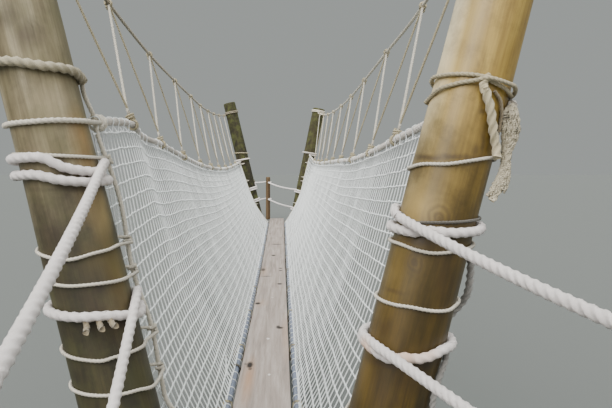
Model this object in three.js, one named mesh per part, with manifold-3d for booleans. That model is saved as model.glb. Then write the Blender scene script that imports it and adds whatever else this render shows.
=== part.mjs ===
// Rope suspension footbridge for a garden path.
// Four round timber posts lean outwards in two pairs. Between the pairs hang, on each side, an upper
// rope, a hand rope and a foot rope. A zigzag lacing hangs the hand rope from the upper rope, and a net
// fills the side from the hand rope down to the foot rope. Two planks, end to end, lie on cross bearers
// that are held up by the foot ropes. Slack rail ropes lead from the posts to short rail posts.
// Millimetres, +Z up, +Y along the walk from the near pair to the far pair, +X to the right.
import * as THREE from "three";
import { mergeVertices } from "three/addons/utils/BufferGeometryUtils.js";
import Module from "manifold-3d";

const wasm = await Module();
wasm.setup();

// Driving dimensions
const SPAN = 8950; // near posts to far posts
const BAYS = 10; // bays of the zigzag lacing along the span
const BAY = SPAN / BAYS;
const DECK_TOP = 225; // walking surface above the ground, at the posts
const DECK_SAG = 75;
const PLANK_WIDTH = 250;
const PLANK_THICKNESS = 45;
const PLANK_OVERHANG = 340; // past the posts, onto the sills
const PLANK_JOINT = 3;
const PLANK_TO_ROPE = 14;
const POST_RADIUS_FOOT = 113;
const POST_RADIUS_TOP = 104;
const RAIL_POST_RADIUS = 48;
const HAND_ROPE_RADIUS = 15;
const UPPER_ROPE_RADIUS = 10;
const FOOT_ROPE_RADIUS = 16;
const RAIL_ROPE_RADIUS = 15;
const HANGER_RADIUS = 6;
const LASHING_RADIUS = 6.5;
const NET_EDGE_RADIUS = 8;
const NET_EDGE_TIE_RADIUS = 5;
const GAP = 0.6; // running gap between touching pieces

const POST_FACETS = 12;
const RAIL_POST_FACETS = 8;

// Heights of the posts' lashings are above the deck
const POSTS = {
  near_left: { side: -1, y: 0, lean: 0.253, innerAtDeck: 195, top: 2370, turns: [1060, 771, 480, 360] },
  near_right: { side: 1, y: 0, lean: 0.257, innerAtDeck: 205, top: 2370, turns: [1018, 780, 610, 280] },
  far_left: { side: -1, y: SPAN, lean: 0.24, innerAtDeck: 232, top: 2310, turns: [1000, 700, 290] },
  far_right: { side: 1, y: SPAN, lean: 0.205, innerAtDeck: 232, top: 2210, turns: [1016, 700, 310] },
};

// Rope lines: at some bays, the distance from the centre line and the height above the deck
const HAND_ROPE = {
  left: [
    [0, 507, 1148],
    [1, 575, 1192],
    [1.3, 604, 1156],
    [2, 626, 1131],
    [3, 638, 1064],
    [4, 635, 1003],
    [6, 652, 950],
    [7.5, 659, 953],
    [9, 664, 991],
    [10, 650, 1045],
  ],
  right: [
    [0, 605, 1185],
    [1, 588, 1124],
    [2, 607, 1081],
    [3, 605, 1046],
    [4, 609, 1040],
    [7, 614, 1018],
    [8, 626, 1024],
    [9, 622, 1042],
    [10, 580, 1160],
  ],
};
const UPPER_ROPE = {
  left: [
    [0, 842, 2040],
    [1.5, 812, 1850],
    [2.5, 797, 1745],
    [3.5, 786, 1689],
    [4.5, 792, 1662],
    [5.5, 822, 1660],
    [6.5, 846, 1676],
    [7.5, 872, 1712],
    [8.5, 893, 1762],
    [10, 905, 1862],
  ],
  right: [
    [0, 838, 2040],
    [1.5, 816, 1836],
    [2.5, 786, 1760],
    [3.5, 762, 1695],
    [4.5, 760, 1665],
    [5.5, 752, 1655],
    [6.5, 742, 1666],
    [7.5, 744, 1706],
    [8.5, 747, 1769],
    [10, 738, 1905],
  ],
};
// What ties each rope to a post: one turn, at a height above the deck, thinner on the near hand ropes than
// the rope itself. The rope leaves it at an angle from the side away from the walkway, towards +Y. Where the
// rope first runs round the post itself, its wrap gives the angles and the heights above the deck.
const HAND_TURN = {
  near_left: { height: 1120, radius: 7, leaves: 170 },
  near_right: {
    height: 1243,
    radius: 7,
    wrap: [
      [-20, 1218],
      [0, 1228],
      [30, 1218],
      [60, 1202],
      [90, 1190],
    ],
  },
  far_left: { height: 1045, radius: HAND_ROPE_RADIUS, leaves: -70 },
  far_right: { height: 1160, radius: HAND_ROPE_RADIUS, leaves: -90 },
};
const UPPER_TURN = {
  near_left: { height: 2060, radius: UPPER_ROPE_RADIUS, leaves: 90 },
  near_right: { height: 2060, radius: UPPER_ROPE_RADIUS, leaves: 90 },
  far_left: { height: 1885, radius: UPPER_ROPE_RADIUS, leaves: -20 },
  far_right: { height: 1900, radius: UPPER_ROPE_RADIUS, leaves: -90 },
};

// The older thick turn on the near left post, and the strand from it down to the hand rope's end
const POST_BAND = { height: 1275, strandRadius: 8, strandLeaves: 150, strandEnd: [-520, 175, 1410] };

// Rail posts, each row starting beside a main post
const RAIL_POSTS = {
  near_left: [{ name: "near_left_rail_post", x: -60, y: -2500, height: 1050 }],
  near_right: [{ name: "near_right_rail_post", x: 1100, y: -2300, height: 1050 }],
  far_left: [{ name: "far_left_rail_post", x: -500, y: 10400, height: 900 }],
  far_right: [
    { name: "far_right_rail_post", x: -210, y: 11450, height: 931 },
    { name: "far_right_rail_post_outer", x: -690, y: 12200, height: 931 },
  ],
};
// Rail ropes: where each leaves its turn, in degrees from the direction of the first rail post, the heights
// above the ground where each is tied, from the main post on, and how far each stretch sags
const RAIL_ROPE_LEAVES = 83;
const RAIL_ROPES = {
  near_left: { upper: { ties: [1215, 775], sags: [90] }, lower: { ties: [828, 350], sags: [130] } },
  near_right: { upper: { ties: [1064, 975], sags: [80] }, lower: { ties: [713, 700], sags: [20] } },
  far_left: { upper: { ties: [795, 800], sags: [30] }, lower: { ties: [585, 430], sags: [30] } },
  far_right: {
    upper: { ties: [745, 810, 795], sags: [25, 15] },
    lower: { ties: [430, 446, 380], sags: [20, 15] },
  },
};
// The loose ends of the near right rail ropes, led down from each hitch: the upper one behind the post, the
// lower one on its bark and over the turn below
const RAIL_LINKS = {
  upper: {
    radius: 12.5,
    leaves: 12,
    route: [
      [650, 30, 943],
      [645.6, 35, 876],
      [639, 47, 843],
      [622, 60, 812],
    ],
    ends: { height: 774, degrees: 30 },
  },
  lower: {
    radius: 10,
    leaves: -14,
    route: [
      [549, -62.4, 675],
      [534, -73.4, 645],
      [515.8, -80.4, 595],
      [513.2, -76.9, 545],
      [522.1, -60.7, 505],
      [516.7, -22.8, 465],
    ],
    ends: { height: 469, degrees: 5 },
  },
};

// The free tails of the near right post's lashing: where each hangs, from its tie to its end
const TAILS = {
  near_right_hand_tail: {
    radius: 14,
    route: [
      [641, -122.2, 1455],
      [650, -120.5, 1425],
      [659, -116.7, 1391.6],
      [670.1, -105.7, 1334.3],
      [678.6, -97.3, 1305],
      [682, -99, 1280],
      [680, -105, 1263],
    ],
  },
  near_right_thin_tail: {
    radius: 5.5,
    route: [
      [672.5, -108.3, 1448],
      [693.4, -95.2, 1422],
      [702, -81.7, 1388.2],
      [701.5, -76.2, 1364],
      [697, -73.2, 1336],
    ],
  },
  near_right_frayed_tail: {
    radius: 11,
    route: [
      [744.4, -46.3, 1411.8],
      [736.5, -64, 1400],
      [729.5, -75, 1377],
      [730.5, -74.5, 1345],
      [727, -72, 1313],
      [717, -77, 1275],
      [712, -82, 1235],
      [703, -86, 1200],
      [686, -90, 1167],
      [670, -92, 1143],
    ],
  },
};

// Net, in cells; the ends of the lattice stand clear of the turns of rope on the posts
const NET_COLUMNS = 19;
const NET_ROWS = 4;
const NET_TIE_COLUMNS = 3;
const NET_TIE_RADIUS = 4;
const NET_BAR_WIDTH = 12;
const NET_BAR_THICKNESS = 7;
const NET_HEIGHT = 1200; // along the net, about
const NET_END = 168; // from the posts' centres to the net's first and last bars
const NET_STAND_OFF = 40; // from the centre of a rope to the net's edge
const NET_BOW_END = 70; // how far the net swells outwards beside the posts, and in mid span
const NET_BOW_MIDDLE = 25;
const EDGE_ROPE_END = 156;

const BEARER = { length: 400, width: 70, height: 45 };
const STRAP_RADIUS = 4;
const SILL = { length: 860, width: 190, offset: 250 }; // squared timbers on the ground under the deck's ends

const MATERIALS = {
  near_post: new THREE.MeshStandardMaterial({ color: 0xb39a62, roughness: 0.75, metalness: 0 }),
  far_post: new THREE.MeshStandardMaterial({ color: 0x6b6047, roughness: 0.9, metalness: 0 }),
  rail_post: new THREE.MeshStandardMaterial({ color: 0x8a673c, roughness: 0.85, metalness: 0 }),
  plank: new THREE.MeshStandardMaterial({ color: 0xb5aaa2, roughness: 0.85, metalness: 0 }),
  bearer: new THREE.MeshStandardMaterial({ color: 0x7d7264, roughness: 0.9, metalness: 0 }),
  thick_rope: new THREE.MeshStandardMaterial({ color: 0xd6cec6, roughness: 0.9, metalness: 0 }),
  thin_rope: new THREE.MeshStandardMaterial({ color: 0xbcb199, roughness: 0.9, metalness: 0 }),
  foot_rope: new THREE.MeshStandardMaterial({ color: 0x98a0aa, roughness: 0.8, metalness: 0 }),
  net: new THREE.MeshStandardMaterial({ color: 0xdcdfdd, roughness: 0.8, metalness: 0 }),
};

const root = new THREE.Group();
const bridge = new THREE.Group();
root.add(bridge);

function addMesh(name, geometry, material) {
  const mesh = new THREE.Mesh(geometry, material);
  mesh.name = name;
  bridge.add(mesh);
  return mesh;
}

// Joining and cutting

function toSolid(geometry) {
  const bare = geometry.clone();
  bare.deleteAttribute("normal");
  bare.deleteAttribute("uv");
  const merged = mergeVertices(bare, 1e-3);
  return new wasm.Manifold(
    new wasm.Mesh({
      numProp: 3,
      vertProperties: merged.attributes.position.array,
      triVerts: new Uint32Array(merged.index.array),
    }),
  );
}

function toGeometry(solid) {
  const mesh = solid.getMesh();
  return new THREE.BufferGeometry()
    .setAttribute("position", new THREE.BufferAttribute(new Float32Array(mesh.vertProperties), 3))
    .setIndex(new THREE.BufferAttribute(mesh.triVerts, 1));
}

function fuse(geometries) {
  const solids = geometries.map(toSolid);
  return toGeometry(solids.slice(1).reduce((whole, next) => whole.add(next), solids[0]));
}

// Curves and tubes

const vector = (x, y, z) => new THREE.Vector3(x, y, z);

function polygon(radius, sides) {
  const shape = new THREE.Shape();
  for (let i = 0; i < sides; i++) {
    const angle = (2 * Math.PI * i) / sides;
    shape[i === 0 ? "moveTo" : "lineTo"](radius * Math.cos(angle), radius * Math.sin(angle));
  }
  return shape;
}

// A smooth route whose steps fall on its own points
class Route extends THREE.CatmullRomCurve3 {
  getUtoTmapping(u) {
    return u;
  }
}

function tube(points, radius, sides = 6) {
  const extrudePath = new Route(points);
  return new THREE.ExtrudeGeometry(polygon(radius, sides), {
    steps: points.length - 1,
    extrudePath,
    bevelEnabled: false,
  });
}

// A loop of cord round a rope, whose flats just clear the rope. Its section has three sides, one turned
// to the rope, half its radius from its centre.
function ropeLoop(centre, axis, ropeRadius, cordRadius) {
  const facets = 5;
  const loopRadius = (ropeRadius + GAP) / Math.cos(Math.PI / facets) + cordRadius / 2;
  return new THREE.TorusGeometry(loopRadius, cordRadius, 3, facets)
    .applyQuaternion(new THREE.Quaternion().setFromUnitVectors(vector(0, 0, 1), axis.clone().normalize()))
    .translate(centre.x, centre.y, centre.z);
}

// Where a strand that leads towards a target starts on such a loop
function loopTie(centre, target, ropeRadius, cordRadius) {
  return centre.clone().add(target.clone().sub(centre).setLength(ropeRadius + GAP + cordRadius / 2));
}

// Main posts: each stands in its own leaning frame, with the ground cut through its foot

for (const post of Object.values(POSTS)) {
  post.angle = Math.atan(post.lean);
  post.footX = post.innerAtDeck + POST_RADIUS_FOOT / Math.cos(post.angle) - post.lean * DECK_TOP;
  post.length = post.top / Math.cos(post.angle);
}

function postRadius(post, z) {
  return THREE.MathUtils.lerp(POST_RADIUS_FOOT, POST_RADIUS_TOP, z / post.top);
}

function postAxis(post, z) {
  return vector(post.side * (post.footX + post.lean * z), post.y, z);
}

function leaningPost(post) {
  const below = 60; // of the log under the ground, cut off
  const log = new THREE.CylinderGeometry(
    postRadius(post, post.top),
    postRadius(post, -below),
    post.length + below,
    POST_FACETS,
  )
    .rotateX(Math.PI / 2)
    .translate(0, 0, (post.length - below) / 2);
  const ground = new THREE.BoxGeometry(600, 600, 200).translate(0, 0, -100).rotateY(-post.side * post.angle);
  return toGeometry(toSolid(log).subtract(toSolid(ground)));
}

for (const [name, post] of Object.entries(POSTS)) {
  const material = name.startsWith("near") ? MATERIALS.near_post : MATERIALS.far_post;
  const mesh = addMesh(`${name}_post`, leaningPost(post), material);
  mesh.position.set(post.side * post.footX, post.y, 0);
  mesh.rotation.y = post.side * post.angle;
}

// One turn of rope round a post, square to its axis, at a height above the ground
function turnRadius(post, z, ropeRadius) {
  return postRadius(post, z) + GAP + ropeRadius;
}

function turn(post, z, ropeRadius) {
  const shape = new THREE.TorusGeometry(turnRadius(post, z, ropeRadius), ropeRadius, 4, POST_FACETS);
  const centre = postAxis(post, z);
  return shape.rotateY(post.side * post.angle).translate(centre.x, centre.y, centre.z);
}

// The point on such a turn at an angle: 0 is away from the walkway, 90 degrees is towards +Y
function turnPoint(post, z, ropeRadius, degrees) {
  const radius = turnRadius(post, z, ropeRadius);
  const angle = THREE.MathUtils.degToRad(degrees);
  return vector(post.side * radius * Math.cos(angle), radius * Math.sin(angle), 0)
    .applyAxisAngle(vector(0, 1, 0), post.side * post.angle)
    .add(postAxis(post, z));
}

// Deck: two sagging planks on bearers and sills

function deckDrop(y) {
  const t = THREE.MathUtils.clamp(y / SPAN, 0, 1);
  return 4 * DECK_SAG * t * (1 - t);
}

function plankUnderside(y) {
  return DECK_TOP - PLANK_THICKNESS - deckDrop(y);
}

function plank(start, end) {
  const stations = [start];
  for (let y = 0; y <= SPAN; y += BAY / 2) if (y > start + 1 && y < end - 1) stations.push(y);
  stations.push(end);
  const profile = new THREE.Shape();
  stations.forEach((y, i) => profile[i === 0 ? "moveTo" : "lineTo"](y, plankUnderside(y)));
  stations.reverse().forEach((y) => profile.lineTo(y, plankUnderside(y) + PLANK_THICKNESS));
  const lengthwise = new THREE.Matrix4().makeBasis(vector(0, 1, 0), vector(0, 0, 1), vector(1, 0, 0));
  return new THREE.ExtrudeGeometry(profile, { depth: PLANK_WIDTH, bevelEnabled: false })
    .applyMatrix4(lengthwise)
    .translate(-PLANK_WIDTH / 2, 0, 0);
}

addMesh("deck_plank_near", plank(-PLANK_OVERHANG, (SPAN - PLANK_JOINT) / 2), MATERIALS.plank);
addMesh("deck_plank_far", plank((SPAN + PLANK_JOINT) / 2, SPAN + PLANK_OVERHANG), MATERIALS.plank);

for (const [name, y] of [
  ["near_sill", -SILL.offset],
  ["far_sill", SPAN + SILL.offset],
]) {
  const height = plankUnderside(y) - GAP;
  const mesh = addMesh(name, new THREE.BoxGeometry(SILL.length, SILL.width, height), MATERIALS.bearer);
  mesh.position.set(0, y, height / 2);
}

// Where the nets are tied along the span, and where the ropes that carry them have their stations

const NET_LENGTH = SPAN - 2 * NET_END;
const netTies = [];
for (let column = 1; column < NET_COLUMNS; column += NET_TIE_COLUMNS) {
  netTies.push(NET_END + (column / NET_COLUMNS) * NET_LENGTH);
}
const ropeStations = [...netTies];
for (let bay = 0.5; bay < BAYS; bay += 0.5) ropeStations.push(bay * BAY);
ropeStations.sort((a, b) => a - b);

// Foot ropes, and the bearers hung under them

const FOOT_ROPE_X = PLANK_WIDTH / 2 + PLANK_TO_ROPE + FOOT_ROPE_RADIUS;

function bearerTop(y) {
  return plankUnderside(y) - GAP;
}

function footRopePoint(side, y) {
  return vector(side * FOOT_ROPE_X, y, bearerTop(y) + GAP + FOOT_ROPE_RADIUS);
}

function footRope(side, [near, far]) {
  const height = DECK_TOP - PLANK_THICKNESS + FOOT_ROPE_RADIUS;
  const straightFrom = 0.4; // bays
  const stations = [straightFrom * BAY, ...ropeStations, SPAN - straightFrom * BAY];
  const points = [
    turnPoint(near, height, FOOT_ROPE_RADIUS, 130),
    ...stations.map((y) => footRopePoint(side, y)),
    turnPoint(far, height, FOOT_ROPE_RADIUS, -130),
  ];
  return fuse([
    tube(points, FOOT_ROPE_RADIUS),
    turn(near, height, FOOT_ROPE_RADIUS),
    turn(far, height, FOOT_ROPE_RADIUS),
  ]);
}

function bearer(y) {
  const slope = bearerTop(y + 0.5) - bearerTop(y - 0.5);
  const batten = new THREE.BoxGeometry(BEARER.length, BEARER.width, BEARER.height)
    .translate(0, 0, -BEARER.height / 2)
    .rotateX(Math.atan(slope))
    .translate(0, y, bearerTop(y));
  const along = vector(0, 1, slope);
  const straps = [-1, 1].map((side) =>
    ropeLoop(footRopePoint(side, y), along, FOOT_ROPE_RADIUS, STRAP_RADIUS),
  );
  return fuse([batten, ...straps]);
}

for (let bay = 1; bay < BAYS; bay++) addMesh(`deck_bearer_${bay}`, bearer(bay * BAY), MATERIALS.bearer);

// Hand ropes, upper ropes and the zigzag lacing between them

// A smooth curve through a rope line's stations, read at any place along the span
function ropePoint(stations, side, y) {
  const bay = y / BAY;
  const next = Math.max(1, stations.findIndex(([at]) => at >= bay));
  const slope = (i, column) => {
    const before = stations[Math.max(0, i - 1)];
    const after = stations[Math.min(stations.length - 1, i + 1)];
    return (after[column] - before[column]) / (after[0] - before[0]);
  };
  const [start, end] = [stations[next - 1], stations[next]];
  const width = end[0] - start[0];
  const t = (bay - start[0]) / width;
  const value = (column) =>
    start[column] * (1 + 2 * t) * (1 - t) ** 2 +
    end[column] * (3 - 2 * t) * t ** 2 +
    slope(next - 1, column) * width * t * (1 - t) ** 2 -
    slope(next, column) * width * (1 - t) * t ** 2;
  return vector(side * value(1), y, DECK_TOP + value(2));
}

function ropeEnd(post, tie, radius) {
  const wrap = tie.wrap ?? [[tie.leaves, tie.height]];
  return wrap.map(([degrees, height]) => turnPoint(post, DECK_TOP + height, radius, degrees));
}

function spanRope(stations, side, posts, ties, radius) {
  const [nearEnd, farEnd] = posts.map((post, i) => ropeEnd(post, ties[i], radius));
  const points = [...nearEnd, ...ropeStations.map((y) => ropePoint(stations, side, y)), ...farEnd];
  const turns = posts.map((post, i) => turn(post, DECK_TOP + ties[i].height, ties[i].radius));
  return fuse([tube(points, radius), ...turns]);
}

function lacing(handLine, upperLine, side) {
  const strands = [];
  const loops = [];
  let last = null;
  for (let half = 1; half < 2 * BAYS; half++) {
    const isTop = half % 2 === 1;
    const line = isTop ? upperLine : handLine;
    const ropeRadius = isTop ? UPPER_ROPE_RADIUS : HAND_ROPE_RADIUS;
    const y = (half * BAY) / 2;
    const centre = ropePoint(line, side, y);
    const along = ropePoint(line, side, y + 1).sub(centre);
    loops.push(ropeLoop(centre, along, ropeRadius, HANGER_RADIUS));
    const tie = loopTie(centre, ropePoint(isTop ? handLine : upperLine, side, y), ropeRadius, HANGER_RADIUS);
    if (last) strands.push(tube([last, tie], HANGER_RADIUS, 4));
    last = tie;
  }
  return fuse([...loops, ...strands]);
}

// Net: a lattice on the surface between a hand rope and a foot rope

function netPoint(side, handLine, y, v) {
  const top = ropePoint(handLine, side, y);
  const foot = footRopePoint(side, y);
  const down = foot.clone().sub(top).normalize();
  top.addScaledVector(down, NET_STAND_OFF);
  foot.addScaledVector(down, -NET_STAND_OFF);
  const fromMiddle = Math.abs((2 * y) / SPAN - 1);
  const bow = THREE.MathUtils.lerp(NET_BOW_MIDDLE, NET_BOW_END, fromMiddle ** 4);
  const outwards = vector(-side * down.z, 0, side * down.x);
  return top.lerp(foot, v).addScaledVector(outwards, bow * Math.sin(Math.PI * v ** 1.5));
}

// A thin perforated sheet: lines run in pairs, and the cell between two pairs is a hole
function lattice(pointAt, columns, rows, uHalf, vHalf, thickness) {
  const pairAbout = (middle, half) => [Math.max(0, middle - half), Math.min(1, middle + half)];
  const lines = (count, half) =>
    Array.from({ length: count + 1 }, (_, i) => pairAbout(i / count, half)).flat();
  const us = lines(columns, uHalf);
  const vs = lines(rows, vHalf);
  const positions = [];
  for (const face of [1, -1])
    for (const u of us)
      for (const v of vs) {
        const centre = pointAt(u, v);
        const alongU = pointAt(Math.min(1, u + 1e-3), v).sub(pointAt(Math.max(0, u - 1e-3), v));
        const alongV = pointAt(u, Math.min(1, v + 1e-3)).sub(pointAt(u, Math.max(0, v - 1e-3)));
        const normal = alongU.cross(alongV).normalize();
        positions.push(...centre.addScaledVector(normal, (face * thickness) / 2));
      }
  const index = (face, a, b) => face * us.length * vs.length + a * vs.length + b;
  const isSolid = (a, b) =>
    a >= 0 && b >= 0 && a < us.length - 1 && b < vs.length - 1 && !(a % 2 === 1 && b % 2 === 1);
  const triangles = [];
  const quad = (p, q, r, s) => triangles.push(p, q, r, p, r, s);
  for (let a = 0; a < us.length - 1; a++)
    for (let b = 0; b < vs.length - 1; b++) {
      if (!isSolid(a, b)) continue;
      quad(index(0, a, b), index(0, a + 1, b), index(0, a + 1, b + 1), index(0, a, b + 1));
      quad(index(1, a, b + 1), index(1, a + 1, b + 1), index(1, a + 1, b), index(1, a, b));
      const walls = [
        [a - 1, b, a, b + 1, a, b],
        [a + 1, b, a + 1, b, a + 1, b + 1],
        [a, b - 1, a, b, a + 1, b],
        [a, b + 1, a + 1, b + 1, a, b + 1],
      ];
      for (const [nextA, nextB, startA, startB, endA, endB] of walls) {
        if (isSolid(nextA, nextB)) continue;
        const [front, back] = [0, 1].map((face) => [index(face, startA, startB), index(face, endA, endB)]);
        quad(front[0], back[0], back[1], front[1]);
      }
    }
  return new THREE.BufferGeometry()
    .setAttribute("position", new THREE.BufferAttribute(new Float32Array(positions), 3))
    .setIndex(triangles);
}

// A loop of cord round a rope that holds the net's edge bar
function netLoop(centre, along, barPoint, ropeRadius) {
  const tie = loopTie(centre, barPoint, ropeRadius, NET_TIE_RADIUS);
  const loop = ropeLoop(centre, along, ropeRadius, NET_TIE_RADIUS);
  return fuse([loop, tube([tie, barPoint], NET_TIE_RADIUS, 4)]);
}

function net(side, handLine) {
  const pointAt = (u, v) => netPoint(side, handLine, NET_END + u * NET_LENGTH, v);
  const halfBar = NET_BAR_WIDTH / 2;
  const uHalf = halfBar / NET_LENGTH;
  const vHalf = halfBar / NET_HEIGHT;
  const sheet = lattice(pointAt, NET_COLUMNS, NET_ROWS, uHalf, vHalf, NET_BAR_THICKNESS);
  const inBar = 0.7 * vHalf;
  const loops = netTies.flatMap((y) => {
    const top = ropePoint(handLine, side, y);
    const alongTop = ropePoint(handLine, side, y + 1).sub(top);
    const foot = footRopePoint(side, y);
    const alongFoot = footRopePoint(side, y + 1).sub(foot);
    return [
      netLoop(top, alongTop, netPoint(side, handLine, y, inBar), HAND_ROPE_RADIUS),
      netLoop(foot, alongFoot, netPoint(side, handLine, y, 1 - inBar), FOOT_ROPE_RADIUS),
    ];
  });
  return fuse([sheet, ...loops]);
}

// Edge rope down each end of a net, tied by turns of cord to the post beside it
function netEdge(side, handLine, post) {
  const y = post.y === 0 ? EDGE_ROPE_END : SPAN - EDGE_ROPE_END;
  const count = 8;
  const points = Array.from({ length: count + 1 }, (_, i) => netPoint(side, handLine, y, i / count));
  const parts = [tube(points, NET_EDGE_RADIUS, 4)];
  const curve = new Route(points).getPoints(200);
  for (const height of post.turns) {
    const z = DECK_TOP + height;
    const level = curve.reduce((best, p) => (Math.abs(p.z - z) < Math.abs(best.z - z) ? p : best));
    const offset = level.clone().sub(postAxis(post, z));
    const degrees = THREE.MathUtils.radToDeg(Math.atan2(offset.y, side * offset.x));
    const tie = tube([turnPoint(post, z, LASHING_RADIUS, degrees), level], NET_EDGE_TIE_RADIUS, 3);
    parts.push(turn(post, z, LASHING_RADIUS), tie);
  }
  return fuse(parts);
}

for (const [name, side] of [
  ["left", -1],
  ["right", 1],
]) {
  const atBothEnds = (table) => [table[`near_${name}`], table[`far_${name}`]];
  const posts = atBothEnds(POSTS);
  const handLine = HAND_ROPE[name];
  const upperLine = UPPER_ROPE[name];
  const handRope = spanRope(handLine, side, posts, atBothEnds(HAND_TURN), HAND_ROPE_RADIUS);
  const upperRope = spanRope(upperLine, side, posts, atBothEnds(UPPER_TURN), UPPER_ROPE_RADIUS);
  addMesh(`${name}_foot_rope`, footRope(side, posts), MATERIALS.foot_rope);
  addMesh(`${name}_hand_rope`, handRope, MATERIALS.thick_rope);
  addMesh(`${name}_upper_rope`, upperRope, MATERIALS.thin_rope);
  addMesh(`${name}_hanger_lacing`, lacing(handLine, upperLine, side), MATERIALS.thin_rope);
  addMesh(`${name}_net`, net(side, handLine), MATERIALS.net);
  addMesh(`near_${name}_net_lashing`, netEdge(side, handLine, posts[0]), MATERIALS.thin_rope);
  addMesh(`far_${name}_net_lashing`, netEdge(side, handLine, posts[1]), MATERIALS.thin_rope);
}

// The thick turn on the near left post

function postBand(post) {
  const z = DECK_TOP + POST_BAND.height;
  const start = turnPoint(post, z, HAND_ROPE_RADIUS, POST_BAND.strandLeaves);
  return fuse([
    turn(post, z, HAND_ROPE_RADIUS),
    tube([start, vector(...POST_BAND.strandEnd)], POST_BAND.strandRadius, 4),
  ]);
}

addMesh("near_left_post_band", postBand(POSTS.near_left), MATERIALS.thin_rope);

// Rail posts, and the slack rail ropes that leave each main post on its walkway side

const RAIL_LOOP_RADIUS = RAIL_POST_RADIUS + GAP + RAIL_ROPE_RADIUS;

// The angle on a turn round a main post where a rope that leads to a rail post leaves it, on the walkway
// side, just past the point where it would graze the post
function railLeaves(post, z, rail) {
  const away = vector(rail.x, rail.y, 0).sub(postAxis(post, z));
  const towardsRail = THREE.MathUtils.radToDeg(Math.atan2(away.y, post.side * away.x));
  return towardsRail + Math.sign(away.y) * RAIL_ROPE_LEAVES;
}

// A point on the loop round a rail post, on the side turned to another point
function railLoopPoint(rail, z, facing) {
  const towards = vector(facing.x - rail.x, facing.y - rail.y, 0).setLength(RAIL_LOOP_RADIUS);
  return vector(rail.x, rail.y, z).add(towards);
}

function slackRope(start, end, sag) {
  const count = 6;
  const points = Array.from({ length: count + 1 }, (_, i) => {
    const t = i / count;
    return start.clone().lerp(end, t).add(vector(0, 0, -4 * sag * t * (1 - t)));
  });
  return tube(points, RAIL_ROPE_RADIUS, 5);
}

// A loose end from a hitch on a main post down to its end against the bark
function railLink(post, z, { radius, leaves, route, ends }) {
  const start = turnPoint(post, z, radius, leaves);
  const end = turnPoint(post, ends.height, radius, ends.degrees);
  return tube([start, ...route.map((point) => vector(...point)), end], radius, 5);
}

function railRope(post, rails, { ties, sags }, link) {
  const parts = [turn(post, ties[0], RAIL_ROPE_RADIUS)];
  let start = turnPoint(post, ties[0], RAIL_ROPE_RADIUS, railLeaves(post, ties[0], rails[0]));
  rails.forEach((rail, i) => {
    const z = ties[i + 1];
    const loop = new THREE.TorusGeometry(RAIL_LOOP_RADIUS, RAIL_ROPE_RADIUS, 4, RAIL_POST_FACETS);
    parts.push(slackRope(start, railLoopPoint(rail, z, start), sags[i]), loop.translate(rail.x, rail.y, z));
    if (i + 1 < rails.length) start = railLoopPoint(rail, z, rails[i + 1]);
  });
  if (link) parts.push(railLink(post, ties[0], link));
  return fuse(parts);
}

for (const [place, rails] of Object.entries(RAIL_POSTS)) {
  for (const { name, x, y, height } of rails) {
    const stake = new THREE.CylinderGeometry(RAIL_POST_RADIUS, RAIL_POST_RADIUS, height, RAIL_POST_FACETS);
    addMesh(name, stake.rotateX(Math.PI / 2), MATERIALS.rail_post).position.set(x, y, height / 2);
  }
  for (const level of ["upper", "lower"]) {
    const link = place === "near_right" ? RAIL_LINKS[level] : null;
    const rope = railRope(POSTS[place], rails, RAIL_ROPES[place][level], link);
    addMesh(`${place}_rail_rope_${level}`, rope, MATERIALS.thick_rope);
  }
}

// The free tails

for (const [name, { radius, route }] of Object.entries(TAILS)) {
  addMesh(name, tube(route.map((point) => vector(...point)), radius, 8), MATERIALS.thin_rope);
}

// The origin is the centre of the near right post's foot
bridge.position.x = -POSTS.near_right.footX;

export default root;
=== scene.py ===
"""The looks of a rope footbridge: round timber posts, a plank deck, laid ropes and knotted nets."""
import math
import random

import bmesh
import bpy
from mathutils import Matrix, Vector, noise


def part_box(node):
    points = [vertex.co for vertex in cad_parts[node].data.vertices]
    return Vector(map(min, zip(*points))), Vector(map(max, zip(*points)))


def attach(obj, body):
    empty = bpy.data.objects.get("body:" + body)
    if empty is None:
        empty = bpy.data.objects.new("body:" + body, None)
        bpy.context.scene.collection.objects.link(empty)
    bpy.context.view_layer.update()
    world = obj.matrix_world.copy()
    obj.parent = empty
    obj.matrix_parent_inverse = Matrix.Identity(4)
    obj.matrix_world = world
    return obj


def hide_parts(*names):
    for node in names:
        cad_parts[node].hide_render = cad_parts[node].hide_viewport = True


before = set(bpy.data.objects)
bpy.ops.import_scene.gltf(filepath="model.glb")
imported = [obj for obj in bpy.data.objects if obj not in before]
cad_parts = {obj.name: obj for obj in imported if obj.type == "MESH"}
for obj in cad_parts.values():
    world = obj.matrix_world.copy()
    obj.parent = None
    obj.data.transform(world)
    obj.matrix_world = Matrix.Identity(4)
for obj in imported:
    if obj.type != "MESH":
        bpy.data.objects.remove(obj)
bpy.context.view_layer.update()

# Sizes, in metres, in the bridge's own frame: X from the deck's centre line, Y along the walk from the
# near posts, Z from the ground. ORIGIN_SHIFT leads from there to the part's frame.
deck_low, deck_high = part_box("deck_plank_near")
CENTRE_X = (deck_low.x + deck_high.x) / 2
ORIGIN_SHIFT = Vector((CENTRE_X, 0, 0))
PLANK_WIDTH = deck_high.x - deck_low.x
DECK_TOP = deck_high.z
SPAN = 8.95
BAYS = 10
BAY = SPAN / BAYS
DECK_SAG = 0.075
PLANK_THICKNESS = 0.045
PLANK_OVERHANG = 0.34
PLANK_JOINT = 0.003
PLANK_TO_ROPE = 0.014
POST_RADIUS_FOOT = 0.113
POST_RADIUS_TOP = 0.104
HAND_ROPE = 0.030
UPPER_ROPE = 0.020
FOOT_ROPE = 0.032
RAIL_ROPE = 0.030
HANGER = 0.012
GAP = 0.0006
# How many diameters a rope runs while its strands go round once
ROPE_LAY = 2.9
TAIL_LAY = 3.3
TAIL_STEPS = 12
TAIL_GROOVE = 0.3

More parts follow.
